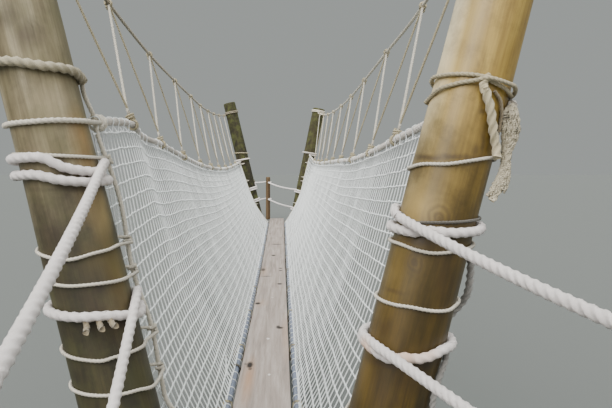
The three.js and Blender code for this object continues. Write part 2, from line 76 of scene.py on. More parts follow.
# Main posts: side of the walkway, place along it, lean, and inner face at deck level
POSTS = {
    "near_left": dict(side=-1, y=0.0, lean=0.253, inner=0.195, top=2.370),
    "near_right": dict(side=1, y=0.0, lean=0.257, inner=0.205, top=2.370),
    "far_left": dict(side=-1, y=SPAN, lean=0.240, inner=0.232, top=2.310),
    "far_right": dict(side=1, y=SPAN, lean=0.205, inner=0.232, top=2.210),
}
# Rope lines: bay, distance from the centre line, height above the deck
HAND_LINES = {
    -1: [
        (0, 0.507, 1.148), (1, 0.575, 1.192), (1.3, 0.604, 1.156), (2, 0.626, 1.131), (3, 0.638, 1.064),
        (4, 0.635, 1.003), (6, 0.652, 0.950), (7.5, 0.659, 0.953), (9, 0.664, 0.991), (10, 0.650, 1.045),
    ],
    1: [
        (0, 0.605, 1.185), (1, 0.588, 1.124), (2, 0.607, 1.081), (3, 0.605, 1.046), (4, 0.609, 1.040),
        (7, 0.614, 1.018), (8, 0.626, 1.024), (9, 0.622, 1.042), (10, 0.580, 1.160),
    ],
}
UPPER_LINES = {
    -1: [
        (0, 0.842, 2.040), (1.5, 0.812, 1.850), (2.5, 0.797, 1.745), (3.5, 0.786, 1.689),
        (4.5, 0.792, 1.662), (5.5, 0.822, 1.660), (6.5, 0.846, 1.676), (7.5, 0.872, 1.712),
        (8.5, 0.893, 1.762), (10, 0.905, 1.862),
    ],
    1: [
        (0, 0.838, 2.040), (1.5, 0.816, 1.836), (2.5, 0.786, 1.760), (3.5, 0.762, 1.695),
        (4.5, 0.760, 1.665), (5.5, 0.752, 1.655), (6.5, 0.742, 1.666), (7.5, 0.744, 1.706),
        (8.5, 0.747, 1.769), (10, 0.738, 1.905),
    ],
}
SIDE_NAMES = {-1: "left", 1: "right"}
rng = random.Random(7)


def in_scene(name, data):
    """An object that carries data, linked into the scene."""
    thing = bpy.data.objects.new(name, data)
    bpy.context.scene.collection.objects.link(thing)
    return thing


# The camera stands on the walk, a little before the near posts, and looks level along the deck. The
# photograph's centre lies right of and below the point where the deck's edges would meet.

CAMERA_PLACE = Vector((0.084, -1.765, 1.250))
FOCAL_PIXELS = 600
PHOTO_WIDTH = 612
PHOTO_HEIGHT = 408
VANISHING_POINT = (281.4, 162.5)

camera_data = bpy.data.cameras.new("camera")
camera_data.sensor_width = 36
camera_data.lens = camera_data.sensor_width * FOCAL_PIXELS / PHOTO_WIDTH
camera_data.shift_x = (PHOTO_WIDTH / 2 - VANISHING_POINT[0]) / PHOTO_WIDTH
camera_data.shift_y = (VANISHING_POINT[1] - PHOTO_HEIGHT / 2) / PHOTO_WIDTH
camera_data.clip_end = 200
camera = in_scene("camera", camera_data)
camera.location = CAMERA_PLACE + ORIGIN_SHIFT
camera.rotation_euler = (math.radians(90), 0, 0)
bpy.context.scene.camera = camera


# Places on the bridge

def line_point(stations, side, y):
    """A smooth curve through a rope line's stations, read at a place along the walk."""
    bay = y / BAY
    later = next((i for i, station in enumerate(stations) if station[0] >= bay), len(stations) - 1)
    after = max(1, later)
    start, end = stations[after - 1], stations[after]
    width = end[0] - start[0]
    t = (bay - start[0]) / width

    def slope(i, column):
        low = stations[max(0, i - 1)]
        high = stations[min(len(stations) - 1, i + 1)]
        return (high[column] - low[column]) / (high[0] - low[0])

    def value(column):
        return (
            start[column] * (1 + 2 * t) * (1 - t) ** 2
            + end[column] * (3 - 2 * t) * t**2
            + slope(after - 1, column) * width * t * (1 - t) ** 2
            - slope(after, column) * width * (1 - t) * t**2
        )

    return Vector((side * value(1), y, DECK_TOP + value(2)))


def hand_point(side, y):
    return line_point(HAND_LINES[side], side, y)


def upper_point(side, y):
    return line_point(UPPER_LINES[side], side, y)


def deck_drop(y):
    t = min(1.0, max(0.0, y / SPAN))
    return 4 * DECK_SAG * t * (1 - t)


def foot_point(side, y):
    x = PLANK_WIDTH / 2 + PLANK_TO_ROPE + FOOT_ROPE / 2
    return Vector((side * x, y, DECK_TOP - PLANK_THICKNESS + FOOT_ROPE / 2 - deck_drop(y)))


for post in POSTS.values():
    post["angle"] = math.atan(post["lean"])
    post["foot_x"] = post["inner"] + POST_RADIUS_FOOT / math.cos(post["angle"]) - post["lean"] * DECK_TOP


def post_radius(post, z):
    return POST_RADIUS_FOOT + (POST_RADIUS_TOP - POST_RADIUS_FOOT) * z / post["top"]


def post_axis(post, z):
    return Vector((post["side"] * (post["foot_x"] + post["lean"] * z), post["y"], z))


def around_post(post, z, degrees, out):
    """A point off a post's bark: 0 degrees is away from the walkway, 90 is towards +Y."""
    radius = post_radius(post, z) + out
    angle = math.radians(degrees)
    flat = Vector((post["side"] * radius * math.cos(angle), radius * math.sin(angle), 0))
    return Matrix.Rotation(post["side"] * post["angle"], 3, "Y") @ flat + post_axis(post, z)


def on_post(post, height, degrees, out):
    """A point off a post's bark at a height above the deck, however the post leans."""
    radius = post_radius(post, DECK_TOP + height) + out
    tilt = radius * math.cos(math.radians(degrees)) * math.sin(post["angle"])
    return around_post(post, DECK_TOP + height + tilt, degrees, out)


# Making pieces

def add_piece(name, mesh, material, replaces=()):
    """Moves a mesh from the bridge's frame to the part's, and makes a piece of the fixed body from it."""
    mesh.transform(Matrix.Translation(ORIGIN_SHIFT))
    mesh.materials.append(material)
    mesh.shade_smooth()
    piece = in_scene(name, mesh)
    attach(piece, "root")
    if replaces:
        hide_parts(*replaces)
    return piece


def mesh_from(bm, name):
    mesh = bpy.data.meshes.new(name)
    bm.to_mesh(mesh)
    bm.free()
    return mesh


def smooth_route(points, step):
    """Evenly spaced points on a smooth curve through a few chosen ones."""
    points = [Vector(p) for p in points]
    first = points[0] * 2 - points[1]
    last = points[-1] * 2 - points[-2]
    ends = [first, *points, last]
    fine = []
    for i in range(1, len(ends) - 2):
        before, start, end, after = ends[i - 1 : i + 3]
        count = max(2, int((end - start).length / step * 4))
        for k in range(count):
            t = k / count
            square = 2 * before - 5 * start + 4 * end - after
            cube = 3 * start - before - 3 * end + after
            fine.append(0.5 * (2 * start + (end - before) * t + square * t**2 + cube * t**3))
    fine.append(points[-1])
    lengths = [0.0]
    for a, b in zip(fine, fine[1:]):
        lengths.append(lengths[-1] + (b - a).length)
    steps = max(2, round(lengths[-1] / step))
    route = []
    index = 0
    for k in range(steps + 1):
        target = lengths[-1] * k / steps
        while index < len(fine) - 2 and lengths[index + 1] < target:
            index += 1
        part = lengths[index + 1] - lengths[index]
        t = 0 if part == 0 else (target - lengths[index]) / part
        route.append(fine[index].lerp(fine[index + 1], t))
    return route


def route_length(route):
    return sum((b - a).length for a, b in zip(route, route[1:]))


def section_curve(diameter, strands, per_strand, groove):
    """The outline of a rope: one lobe for each strand, or a plain round one."""
    outline = bpy.data.curves.new("section", "CURVE")
    outline.dimensions = "2D"
    spline = outline.splines.new("POLY")
    count = strands * per_strand if strands else per_strand
    spline.points.add(count - 1)
    spline.use_cyclic_u = True
    for i, point in enumerate(spline.points):
        angle = 2 * math.pi * i / count
        depth = groove * abs(math.sin(strands * angle / 2)) ** 1.6 if strands else 0
        radius = diameter / 2 * (1 - depth)
        point.co = (radius * math.cos(angle), radius * math.sin(angle), 0, 1)
    return bpy.data.objects.new("section", outline)


def rope_mesh(routes, diameter, lay=0.0, strands=3, per_strand=5, groove=0.22, swell=None, closed=False):
    """Ropes swept along their routes. The section turns once in each lay, which winds the strands."""
    section = section_curve(diameter, strands, per_strand, groove)
    data = bpy.data.curves.new("rope", "CURVE")
    data.dimensions = "3D"
    data.twist_mode = "MINIMUM"
    data.bevel_mode = "OBJECT"
    data.bevel_object = section
    data.use_fill_caps = not closed
    for route in routes:
        spline = data.splines.new("POLY")
        spline.points.add(len(route) - 1)
        spline.use_cyclic_u = closed
        along = 0.0
        turns_per_metre = 1 / lay if lay else 0.0
        if closed and lay:
            whole = route_length(route + route[:1])
            turns_per_metre = max(1, round(whole / lay * strands)) / strands / whole
        for i, (point, place_on) in enumerate(zip(spline.points, route)):
            if i:
                along += (place_on - route[i - 1]).length
            point.co = (*place_on, 1)
            point.tilt = 2 * math.pi * along * turns_per_metre
            if swell:
                point.radius = swell(i)
    carrier = in_scene("rope", data)
    graph = bpy.context.evaluated_depsgraph_get()
    mesh = bpy.data.meshes.new_from_object(carrier.evaluated_get(graph))
    bpy.data.objects.remove(carrier)
    bpy.data.objects.remove(section)
    bm = bmesh.new()
    bm.from_mesh(mesh)
    bmesh.ops.remove_doubles(bm, verts=bm.verts, dist=1e-6)
    bm.to_mesh(mesh)
    bm.free()
    mean_length = sum(route_length(route) for route in routes) / len(routes)
    uv = mesh.uv_layers.active.data
    values = [0.0] * (2 * len(uv))
    uv.foreach_get("uv", values)
    values[1::2] = [v * mean_length for v in values[1::2]]
    uv.foreach_set("uv", values)
    return mesh


def cord_mesh(routes, diameter, steps_per_lay=8, per_strand=4, lay_ratio=ROPE_LAY, groove=0.24):
    """Three-strand ropes or cords through a few chosen points each."""
    lay = diameter * lay_ratio
    fine = [smooth_route(route, lay / steps_per_lay) for route in routes]
    return rope_mesh(fine, diameter, lay, per_strand=per_strand, groove=groove)


def cord_piece(name, routes, diameter, material, slot="thin_rope", replaces=(), **shape):
    return add_piece(name, cord_mesh(routes, diameter, **shape), material, replaces)


def joined(meshes):
    bm = bmesh.new()
    for mesh in meshes:
        bm.from_mesh(mesh)
        bpy.data.meshes.remove(mesh)
    return mesh_from(bm, "joined")


# Materials

def linear(hex_colour):
    """An sRGB hex colour as linear values."""
    channels = [int(hex_colour[i : i + 2], 16) / 255 for i in (1, 3, 5)]
    return tuple(c / 12.92 if c <= 0.04045 else ((c + 0.055) / 1.055) ** 2.4 for c in channels) + (1.0,)


class Nodes:
    """A node tree, with one function that adds a node with its settings and links."""

    def __init__(self, owner):
        owner.use_nodes = True
        self.tree = owner.node_tree

    def add(self, kind, out, inputs=None, stops=(), **settings):
        """Adds a node and gives back one of its outputs. An input is a link, a hex colour or a value, and
        so is the colour at each stop of a ramp."""
        node = self.tree.nodes.new(f"ShaderNode{kind}")
        for key, value in settings.items():
            setattr(node, key, value)
        for key, value in (inputs or {}).items():
            if isinstance(value, bpy.types.NodeSocket):
                self.tree.links.new(value, node.inputs[key])
            else:
                node.inputs[key].default_value = linear(value) if isinstance(value, str) else value
        elements = node.color_ramp.elements if stops else ()
        while len(elements) < len(stops):
            elements.new(0.5)
        for element, (position, colour) in zip(elements, stops):
            element.position = position
            element.color = linear(colour) if isinstance(colour, str) else (colour, colour, colour, 1)
        return node.outputs[out]


class Finish(Nodes):
    """A material, and the patterns that this bridge's finishes share."""

    def __init__(self, name, roughness):
        self.material = bpy.data.materials.new(name)
        super().__init__(self.material)
        self.shader = self.tree.nodes["Principled BSDF"]
        self.shader.inputs["Roughness"].default_value = roughness

    def paint(self, under, over, share, stops=()):
        """A colour laid over another, as strongly as a share from 0 to 1, which the stops may shape
        first."""
        if stops:
            share = self.add("ValToRGB", "Color", {"Fac": share}, stops)
        return self.add("Mix", 2, {0: share, 6: under, 7: over}, data_type="RGBA")

    def spot(self, place_on, centre, radii, strength, edge=0.35):
        """A patch round a centre: its strength inside, and nothing past its soft edge."""
        location = tuple(-c / r for c, r in zip(centre, radii))
        scale = tuple(1 / r for r in radii)
        at = self.add("Mapping", "Vector", {"Vector": place_on, "Location": location, "Scale": scale})
        distance = self.add("VectorMath", "Value", {0: at}, operation="LENGTH")
        reach = {"Value": distance, "From Min": 1 - edge, "From Max": 1 + edge, "To Min": strength,
                 "To Max": 0.0}
        return self.add("MapRange", "Result", reach)

    def knot(self, place_on, centre, size, strength):
        """Growth rings round a dark core, as a grown-over branch shows on a peeled pole."""
        scale = (1 / size, 1 / size, 0.8 / size)
        location = tuple(-c * s for c, s in zip(centre, scale))
        at = self.add("Mapping", "Vector", {"Vector": place_on, "Location": location, "Scale": scale})
        rings = self.add("TexWave", "Fac", {"Vector": at, "Scale": 0.6, "Distortion": 3.5, "Detail": 3.0},
                         wave_type="RINGS", rings_direction="SPHERICAL")
        area = self.spot(place_on, centre, (size, size, size * 1.2), strength, 0.5)
        ringed = self.add("Math", "Value", {0: rings, 1: area}, operation="MULTIPLY")
        core = self.spot(place_on, centre, (size * 0.22, size * 0.22, size * 0.3), strength)
        return self.most([ringed, core])

    def most(self, shares):
        """The strongest of several marks at each place."""
        strongest = shares[0]
        for share in shares[1:]:
            strongest = self.add("Math", "Value", {0: strongest, 1: share}, operation="MAXIMUM")
        return strongest

    def warped(self, place_on, scale, amount):
        """Places pushed about by a noise, so that outlines drawn on them come out uneven."""
        push = self.add("TexNoise", "Color", {"Vector": place_on, "Scale": scale, "Detail": 3})
        centred = self.add("VectorMath", "Vector", {0: push, 1: (0.5, 0.5, 0.5)}, operation="SUBTRACT")
        shift = {0: centred, 1: (amount, amount, amount), 2: place_on}
        return self.add("VectorMath", "Vector", shift, operation="MULTIPLY_ADD")

    def finish(self, colour, reliefs):
        """Joins the colour and the reliefs to the shader. A relief is a height pattern, its depth in metres
        and its strength, and each lies on the one before."""
        self.tree.links.new(colour, self.shader.inputs["Base Color"])
        below = {}
        for height, depth, strength in reliefs:
            relief = {"Height": height, "Distance": depth, "Strength": strength, **below}
            below = {"Normal": self.add("Bump", "Normal", relief)}
        self.tree.links.new(below["Normal"], self.shader.inputs["Normal"])
        return self.material


def rope_finish(name, light, dark, soil, yarns_around, yarn_pitch, rough=0.9, soiling=0.4, stains=()):
    """Laid fibre rope. UV runs round the rope and, in metres, along it. Yarns cross the strands at a slant,
    and loose fibres and soil break the colour up. A stain has a centre, a radius, a strength and a
    colour."""
    f = Finish(name, rough)
    f.shader.inputs["Sheen Weight"].default_value = 0.25
    f.shader.inputs["Sheen Roughness"].default_value = 0.6
    uv = f.add("UVMap", "UV", uv_map="UVMap")
    scaled = f.add("Mapping", "Vector", {"Vector": uv, "Scale": (yarns_around, 1 / yarn_pitch, 1)})
    yarns = f.add("TexWave", "Fac", {"Vector": scaled, "Scale": 0.32, "Distortion": 1.5, "Detail": 1.0},
                  wave_type="BANDS", bands_direction="DIAGONAL")
    place_on = f.add("TexCoord", "Object")
    fibres = f.add("TexNoise", "Fac", {"Vector": place_on, "Scale": 420, "Detail": 3})
    patches = f.add("TexNoise", "Fac", {"Vector": place_on, "Scale": 5.5, "Detail": 5, "Roughness": 0.6})
    colour = f.paint(dark, light, fibres)
    colour = f.paint(colour, soil, patches, [(0.35, 0.0), (0.75, soiling)])
    if stains:
        around = f.warped(place_on, 60, 0.012)
        for centre, radius, strength, stain_colour in stains:
            colour = f.paint(colour, stain_colour, f.spot(around, centre, [radius] * 3, strength, 0.7))
    return f.finish(colour, [(yarns, 0.0012, 0.6), (fibres, 0.0008, 0.5)])


# Hemp-like laid rope, washed pale by the weather
ivory_rope = rope_finish("weathered laid rope", "#E9E3DC", "#C9BFB4", "#A89C8B", 18, 0.012)
tan_rope = rope_finish("tan laid cord", "#CABE9F", "#A49876", "#7D7152", 12, 0.006)
edge_cord = rope_finish("washed edge rope", "#F0EADC", "#D2C8B5", "#A79D87", 12, 0.006)
dark_cord = rope_finish("tarred cord", "#645E52", "#423E35", "#342F28", 12, 0.006)
dull_cord = rope_finish("soiled laid cord", "#998B70", "#70634C", "#524735", 12, 0.006)
frayed_rope = rope_finish("unlaid rope yarn", "#DDD3B9", "#BDB194", "#93866A", 6, 0.004, soiling=0.3)
net_cord = rope_finish("braided net cord", "#FDFEFE", "#E6ECED", "#B4BCB4", 8, 0.005, soiling=0.15)
pale_upper = rope_finish("weathered thin rope", "#F4ECDA", "#DAD0BC", "#B2A792", 12, 0.008)
tan_upper = rope_finish("soiled thin rope", "#B4A890", "#8B806A", "#665D49", 12, 0.008)
pale_hanger = rope_finish("washed hanger rope", "#D0CBBF", "#B0A797", "#8F8775", 12, 0.006)
brown_rope = rope_finish("old brown rope", "#C2B99F", "#93886C", "#675E49", 16, 0.012)
grey_rope = rope_finish("grey loose rope", "#9D9995", "#6E6B66", "#4B4843", 14, 0.010)
# Rust from a fitting has left a peach stain on the near right post's lower hitch
RUST_PEACH = "#E3B898"
PEACH_SPOTS = [(-157, 0.488, 0.030, 0.95), (-100, 0.496, 0.034, 0.75), (-74, 0.500, 0.024, 0.55)]
peach_stains = []
for degrees, height, radius, strength in PEACH_SPOTS:
    centre = on_post(POSTS["near_right"], height, degrees, RAIL_ROPE / 2) + ORIGIN_SHIFT
    peach_stains.append((centre, radius, strength, RUST_PEACH))
rail_rope_finish = rope_finish("washed cotton rail rope", "#FBF4F2", "#E2D9D6", "#B5AAA3", 18, 0.012,
                               soiling=0.25, stains=peach_stains)
# Rope served with thin cord: the ribs are in the mesh
served_rope = rope_finish("served rope", "#8894AE", "#56627C", "#50535C", 6, 0.008, rough=0.75)


# The heights between which the light and shade painted down a post's side go from their low strength to
# their high one
SIDE_LIGHT_LOW = 1.3
SIDE_LIGHT_HIGH = 1.8
# The dark brown of knots, stains and the painted shade under rope turns
MARK_AND_SHADE_BROWN = "#33251A"
MOSS_GREEN = "#55592C"


def pole_finish(name, post, light, mid, dark, low_dark, low_light, rough, foot_shade, moss=0.0, side_light_and_shade=(),
                knots=(), stains=(), patches=()):
    """Peeled round timber. The pattern is turned into the pole's own frame, so that the grain runs along
    it: cloudy bands, fine soft streaks, a darker foot that is partly painted shade, a painted highlight down
    one post's side and painted shade down another's, and, on old poles, moss. The painted light and shade on
    a side grows towards the walkway between two distances from the pole's middle. Knots, stains and patches
    are given as degrees round the post, height above the deck, size and strength; some stains are painted
    shade."""
    f = Finish(name, rough)
    place_on = f.add("TexCoord", "Object")
    foot = post_axis(post, 0) + ORIGIN_SHIFT
    turn = -post["side"] * post["angle"]
    at_foot = f.add("VectorMath", "Vector", {0: place_on, 1: tuple(-foot)}, operation="ADD")
    upright = f.add("Mapping", "Vector", {"Vector": at_foot, "Rotation": (0, turn, 0)})
    bands_at = f.add("Mapping", "Vector", {"Vector": upright, "Scale": (1, 1, 0.16)})
    bands = f.add("TexNoise", "Fac", {"Vector": bands_at, "Scale": 17, "Detail": 6, "Roughness": 0.6})
    streaks_at = f.add("Mapping", "Vector", {"Vector": upright, "Scale": (1, 1, 0.03)})
    streaks = f.add("TexNoise", "Fac", {"Vector": streaks_at, "Scale": 120, "Detail": 5, "Roughness": 0.65})
    fine = f.add("TexNoise", "Fac", {"Vector": streaks_at, "Scale": 420, "Detail": 3})
    clouds = f.add("TexNoise", "Fac", {"Vector": upright, "Scale": 6.0, "Detail": 7, "Roughness": 0.68})
    colour = f.add("ValToRGB", "Color", {"Fac": bands}, [(0.3, dark), (0.5, mid), (0.7, light)])
    colour = f.paint(colour, dark, streaks, [(0.36, 0.5), (0.56, 0.0)])
    across = f.add("SeparateXYZ", "X", {"Vector": upright})
    up = across.node.outputs["Z"]
    walkway = -post["side"]
    # Painted highlight and painted shade down the side towards the walkway
    for begins, full, strength_low, strength_high, side_light_colour in side_light_and_shade:
        face = {"Value": across, "From Min": walkway * begins, "From Max": walkway * full}
        rise = {"Value": up, "From Min": SIDE_LIGHT_LOW, "From Max": SIDE_LIGHT_HIGH, "To Min": strength_low,
                "To Max": strength_high}
        factors = {0: f.add("MapRange", "Result", face), 1: f.add("MapRange", "Result", rise)}
        colour = f.paint(colour, side_light_colour, f.add("Math", "Value", factors, operation="MULTIPLY"))
    colour = f.paint(colour, low_dark, clouds, [(0.46, 0.0), (0.68, 0.5)])
    # Darker towards the foot, partly painted shade
    uneven = f.add("Math", "Value", {0: clouds, 1: -0.45, 2: up}, operation="MULTIPLY_ADD")
    share = f.add("MapRange", "Result", {"Value": uneven, "From Min": -0.22, "From Max": 1.5})
    low_colour = f.add("ValToRGB", "Color", {"Fac": bands}, [(0.34, low_dark), (0.62, low_light)])
    low_colour = f.paint(low_colour, low_dark, streaks, [(0.38, 0.55), (0.56, 0.0)])
    colour = f.paint(colour, low_colour, share, foot_shade)
    near_bark = f.warped(place_on, 22, 0.02)

    def on_bark(degrees, height):
        return on_post(post, height, degrees, 0) + ORIGIN_SHIFT

    for degrees, height, width, tall, strength, patch_colour in patches:
        patch = f.spot(near_bark, on_bark(degrees, height), (width, width, tall), strength, 0.9)
        colour = f.paint(colour, patch_colour, patch)
    dark_marks_and_shade = [f.add("Attribute", "Fac", attribute_name="mark")]
    for degrees, height, size, strength in knots:
        dark_marks_and_shade.append(f.knot(near_bark, on_bark(degrees, height), size, strength))
    # Some stains are painted shade under rope turns
    for degrees, height, width, tall, strength in stains:
        dark_marks_and_shade.append(f.spot(near_bark, on_bark(degrees, height), (width, width, tall), strength, 0.6))
    colour = f.paint(colour, MARK_AND_SHADE_BROWN, f.most(dark_marks_and_shade))
    if moss:
        growth = f.add("TexNoise", "Fac", {"Vector": upright, "Scale": 9, "Detail": 8, "Roughness": 0.7})
        colour = f.paint(colour, MOSS_GREEN, growth, [(0.45, 0.0), (0.62, moss)])
    return f.finish(colour, [(streaks, 0.0012, 0.35), (fine, 0.0005, 0.5)])


GRAIN_STRETCH = 0.035
RESIN_HALO = "#B08052"
KNOT_DARK = "#261C16"
PALE_SPECK = "#F4F2EE"


def sawn_finish(name, light, mid, dark, grain_axis="Y", spots=(), halos=(), specks=()):
    """Softwood gone grey, with open grain along one axis. Spots, halos and specks have a centre, radii and a
    strength. The round stakes' mesh carries marks of its own."""
    f = Finish(name, roughness=0.85)
    place_on = f.add("TexCoord", "Object")
    scale = tuple(GRAIN_STRETCH if axis == grain_axis else 1 for axis in "XYZ")
    grain_at = f.add("Mapping", "Vector", {"Vector": place_on, "Scale": scale})
    coarse = {"Vector": grain_at, "Scale": 38, "Detail": 7, "Roughness": 0.6, "Distortion": 0.4}
    bands = f.add("TexNoise", "Fac", coarse)
    fine = f.add("TexNoise", "Fac", {"Vector": grain_at, "Scale": 240, "Detail": 4, "Roughness": 0.7})
    clouds = f.add("TexNoise", "Fac", {"Vector": place_on, "Scale": 3.2, "Detail": 5})
    colour = f.add("ValToRGB", "Color", {"Fac": bands}, [(0.28, dark), (0.47, mid), (0.68, light)])
    colour = f.paint(colour, dark, fine, [(0.3, 0.35), (0.5, 0.0)])
    colour = f.paint(colour, mid, clouds, [(0.4, 0.0), (0.7, 0.3)])
    around = f.warped(place_on, 60, 0.010)
    for halo in halos:
        colour = f.paint(colour, RESIN_HALO, f.spot(around, *halo, 0.8))
    marks = [f.add("Attribute", "Fac", attribute_name="mark")]
    marks += [f.spot(around, *spot) for spot in spots]
    colour = f.paint(colour, KNOT_DARK, f.most(marks))
    if specks:
        colour = f.paint(colour, PALE_SPECK, f.most([f.spot(around, *speck) for speck in specks]))
    return f.finish(colour, [(bands, 0.0016, 0.4), (fine, 0.0008, 0.6)])


# Each main post's colours and marks. foot_shade says how much of the dark foot colour, partly painted
# shade, shows, from the ground (0) to head height (1).
POLE_COLOURS = {
    "near_left": dict(
        light="#A0957A", mid="#7F7458", dark="#564B34", low_dark="#231F12", low_light="#3B341E",
        moss=0.2, rough=0.6, foot_shade=[(0.1, 1.0), (0.35, 1.0), (0.60, 0.9), (0.8, 0.0)],
        # Painted shade darkens this post's side towards the walkway
        side_light_and_shade=[(0.080, 0.112, 0.2, 0.45, "#5C5A42")],
        knots=[(-60, 1.50, 0.022, 0.6)],
        stains=[(-112, 1.385, 0.034, 0.040, 0.6), (-90, 1.43, 0.045, 0.03, 0.5),
                (-75, 0.79, 0.045, 0.10, 0.45), (-95, 0.93, 0.05, 0.06, 0.3),
                (-150, 0.90, 0.02, 0.05, 0.25), (-110, 0.64, 0.03, 0.06, 0.4),
                # The wide thin stains at 0.950 and 0.568 are painted shade under the rail ropes' hitches
                (-110, 0.52, 0.03, 0.05, 0.3), (-112, 0.950, 0.10, 0.008, 0.5),
                (-135, 0.568, 0.08, 0.010, 0.7)],
        patches=[(-135, 1.19, 0.045, 0.06, 0.4, "#B0A283"), (-158, 1.10, 0.030, 0.07, 0.6, "#9A7848"),
                 (-150, 0.96, 0.030, 0.08, 0.5, "#7D6238"), (-160, 0.71, 0.032, 0.07, 0.55, "#746032"),
                 (-135, 0.76, 0.040, 0.04, 0.4, "#6A5A32"), (-140, 0.60, 0.035, 0.05, 0.35, "#665633"),
                 (-157, 0.875, 0.030, 0.06, 0.55, "#A08A58")],
    ),
    "near_right": dict(
        light="#B2974F", mid="#9A7F3C", dark="#755C27", low_dark="#2D2309", low_light="#4B3A10",
        rough=0.42, foot_shade=[(0.1, 1.0), (0.4, 0.97), (0.66, 0.86), (0.78, 0.5), (0.88, 0.0)],
        # Painted light: the side towards the walkway is paler, with a painted highlight along its edge
        side_light_and_shade=[(-0.02, 0.10, 0.35, 0.45, "#D9BD7E"), (0.075, 0.112, 0.3, 0.95, "#FBEFD0")],
        knots=[(-103, 0.869, 0.036, 0.5), (-120, 0.745, 0.026, 0.4), (-112, 1.49, 0.020, 0.25)],
        stains=[(-100, 1.041, 0.080, 0.008, 0.5), (-145, 1.040, 0.060, 0.007, 0.6),
                (-80, 1.167, 0.010, 0.010, 0.6), (-78, 1.06, 0.012, 0.015, 0.4),
                (-144, 0.661, 0.035, 0.006, 0.4), (-95, 1.30, 0.005, 0.03, 0.25),
                (-125, 0.40, 0.03, 0.06, 0.3), (-86, 1.20, 0.007, 0.045, 0.5),
                (-68, 1.10, 0.010, 0.05, 0.5), (-150, 0.56, 0.03, 0.02, 0.3), (-70, 0.70, 0.03, 0.09, 0.35),
                # The wide thin stains at 0.803 and 0.462 are painted shade under the rail ropes' hitches
                (-90, 0.43, 0.04, 0.05, 0.4), (-120, 0.803, 0.10, 0.009, 0.5),
                (-105, 0.462, 0.11, 0.012, 0.55)],
        patches=[(-150, 0.72, 0.030, 0.08, 0.20, "#93793A"), (-155, 0.42, 0.025, 0.06, 0.35, "#7C6430"),
                 (-135, 0.905, 0.050, 0.045, 0.5, "#BFA364"), (-135, 0.56, 0.045, 0.07, 0.15, "#745818")],
    ),
    "far_left": dict(
        light="#423C27", mid="#312D1C", dark="#201C10", low_dark="#1C190E", low_light="#302B1B",
        moss=0.7, rough=0.9, foot_shade=[(0.1, 0.9), (0.6, 0.4), (0.9, 0.0)],
        stains=[(-90, 1.1, 0.05, 0.10, 0.5)],
    ),
    "far_right": dict(
        light="#534E31", mid="#3E3922", dark="#282415", low_dark="#242013", low_light="#3D3724",
        moss=0.6, rough=0.9, foot_shade=[(0.1, 0.9), (0.6, 0.4), (0.9, 0.0)],
        stains=[(-90, 1.5, 0.05, 0.10, 0.4)],
    ),
}
stake_wood = sawn_finish("peeled softwood stake", "#6E583B", "#534028", "#372A18", "Z")

# Knots, cracks and worn spots in the deck: place along it, place across it from -1 to 1, half length, half
# width, strength
DECK_MARKS = [
    (1.395, -0.66, 0.050, 0.016, 1.0), (1.330, -0.62, 0.022, 0.010, 0.7), (1.410, -0.82, 0.010, 0.012, 0.7),
    (2.162, 0.58, 0.026, 0.022, 1.0), (2.190, 0.50, 0.026, 0.012, 0.9), (2.885, -0.79, 0.036, 0.021, 1.0),
    (3.668, 0.55, 0.034, 0.022, 1.0), (4.397, -0.82, 0.070, 0.022, 0.8), (4.485, 0.61, 0.022, 0.017, 1.0),
    (4.351, 0.61, 0.022, 0.017, 1.0), (4.036, -0.50, 0.022, 0.050, 0.6), (5.329, -0.08, 0.045, 0.024, 1.0),
    (6.229, 0.14, 0.030, 0.066, 0.9), (6.814, -0.29, 0.020, 0.030, 0.55), (7.260, -0.70, 0.030, 0.020, 0.6),
    (7.900, 0.30, 0.020, 0.050, 0.5),
]
DECK_HALOS = [(1.18, -0.62, 0.26, 0.022, 0.55), (2.9, -0.6, 0.10, 0.04, 0.2), (4.3, -0.7, 0.20, 0.03, 0.25),
              (2.0, 0.9, 0.40, 0.02, 0.25)]
DECK_SPECKS = [(1.898, 0.02, 0.018, 0.008, 0.6), (1.237, 0.18, 0.012, 0.007, 0.6),
               (3.1, 0.1, 0.01, 0.01, 0.4)]


def on_deck(marks):
    """Marks as centres and radii in the part's frame, deep enough to reach the board's sagging top."""
    return [((CENTRE_X + across * PLANK_WIDTH / 2, y, DECK_TOP - deck_drop(y)), (wide, long, 0.02), strength)
            for y, across, long, wide, strength in marks]


weathered_plank = sawn_finish("weathered sawn softwood", "#B6AAA2", "#9E9189", "#786D65",
                              spots=on_deck(DECK_MARKS), halos=on_deck(DECK_HALOS),
                              specks=on_deck(DECK_SPECKS))
grey_batten = sawn_finish("grey sawn batten", "#81786B", "#6A6155", "#4E473E", "X")


# The free tails of the near right post's lashing, whose routes are their solids' own

TAIL_ROUTES = {
    "near_right_hand_tail": [
        (0.6410, -0.1222, 1.4550), (0.6500, -0.1205, 1.4250), (0.6590, -0.1167, 1.3916),
        (0.6701, -0.1057, 1.3343), (0.6786, -0.0973, 1.3050), (0.6820, -0.0990, 1.2800),
        (0.6800, -0.1050, 1.2630),
    ],
    "near_right_thin_tail": [
        (0.6725, -0.1083, 1.4480), (0.6934, -0.0952, 1.4220), (0.7020, -0.0817, 1.3882),
        (0.7015, -0.0762, 1.3640), (0.6970, -0.0732, 1.3360),
    ],
    "near_right_frayed_tail": [
        (0.7444, -0.0463, 1.4118), (0.7365, -0.0640, 1.4000), (0.7295, -0.0750, 1.3770),
        (0.7305, -0.0745, 1.3450), (0.7270, -0.0720, 1.3130), (0.7170, -0.0770, 1.2750),
        (0.7120, -0.0820, 1.2350), (0.7030, -0.0860, 1.2000), (0.6860, -0.0900, 1.1670),
        (0.6700, -0.0920, 1.1430),
    ],
}


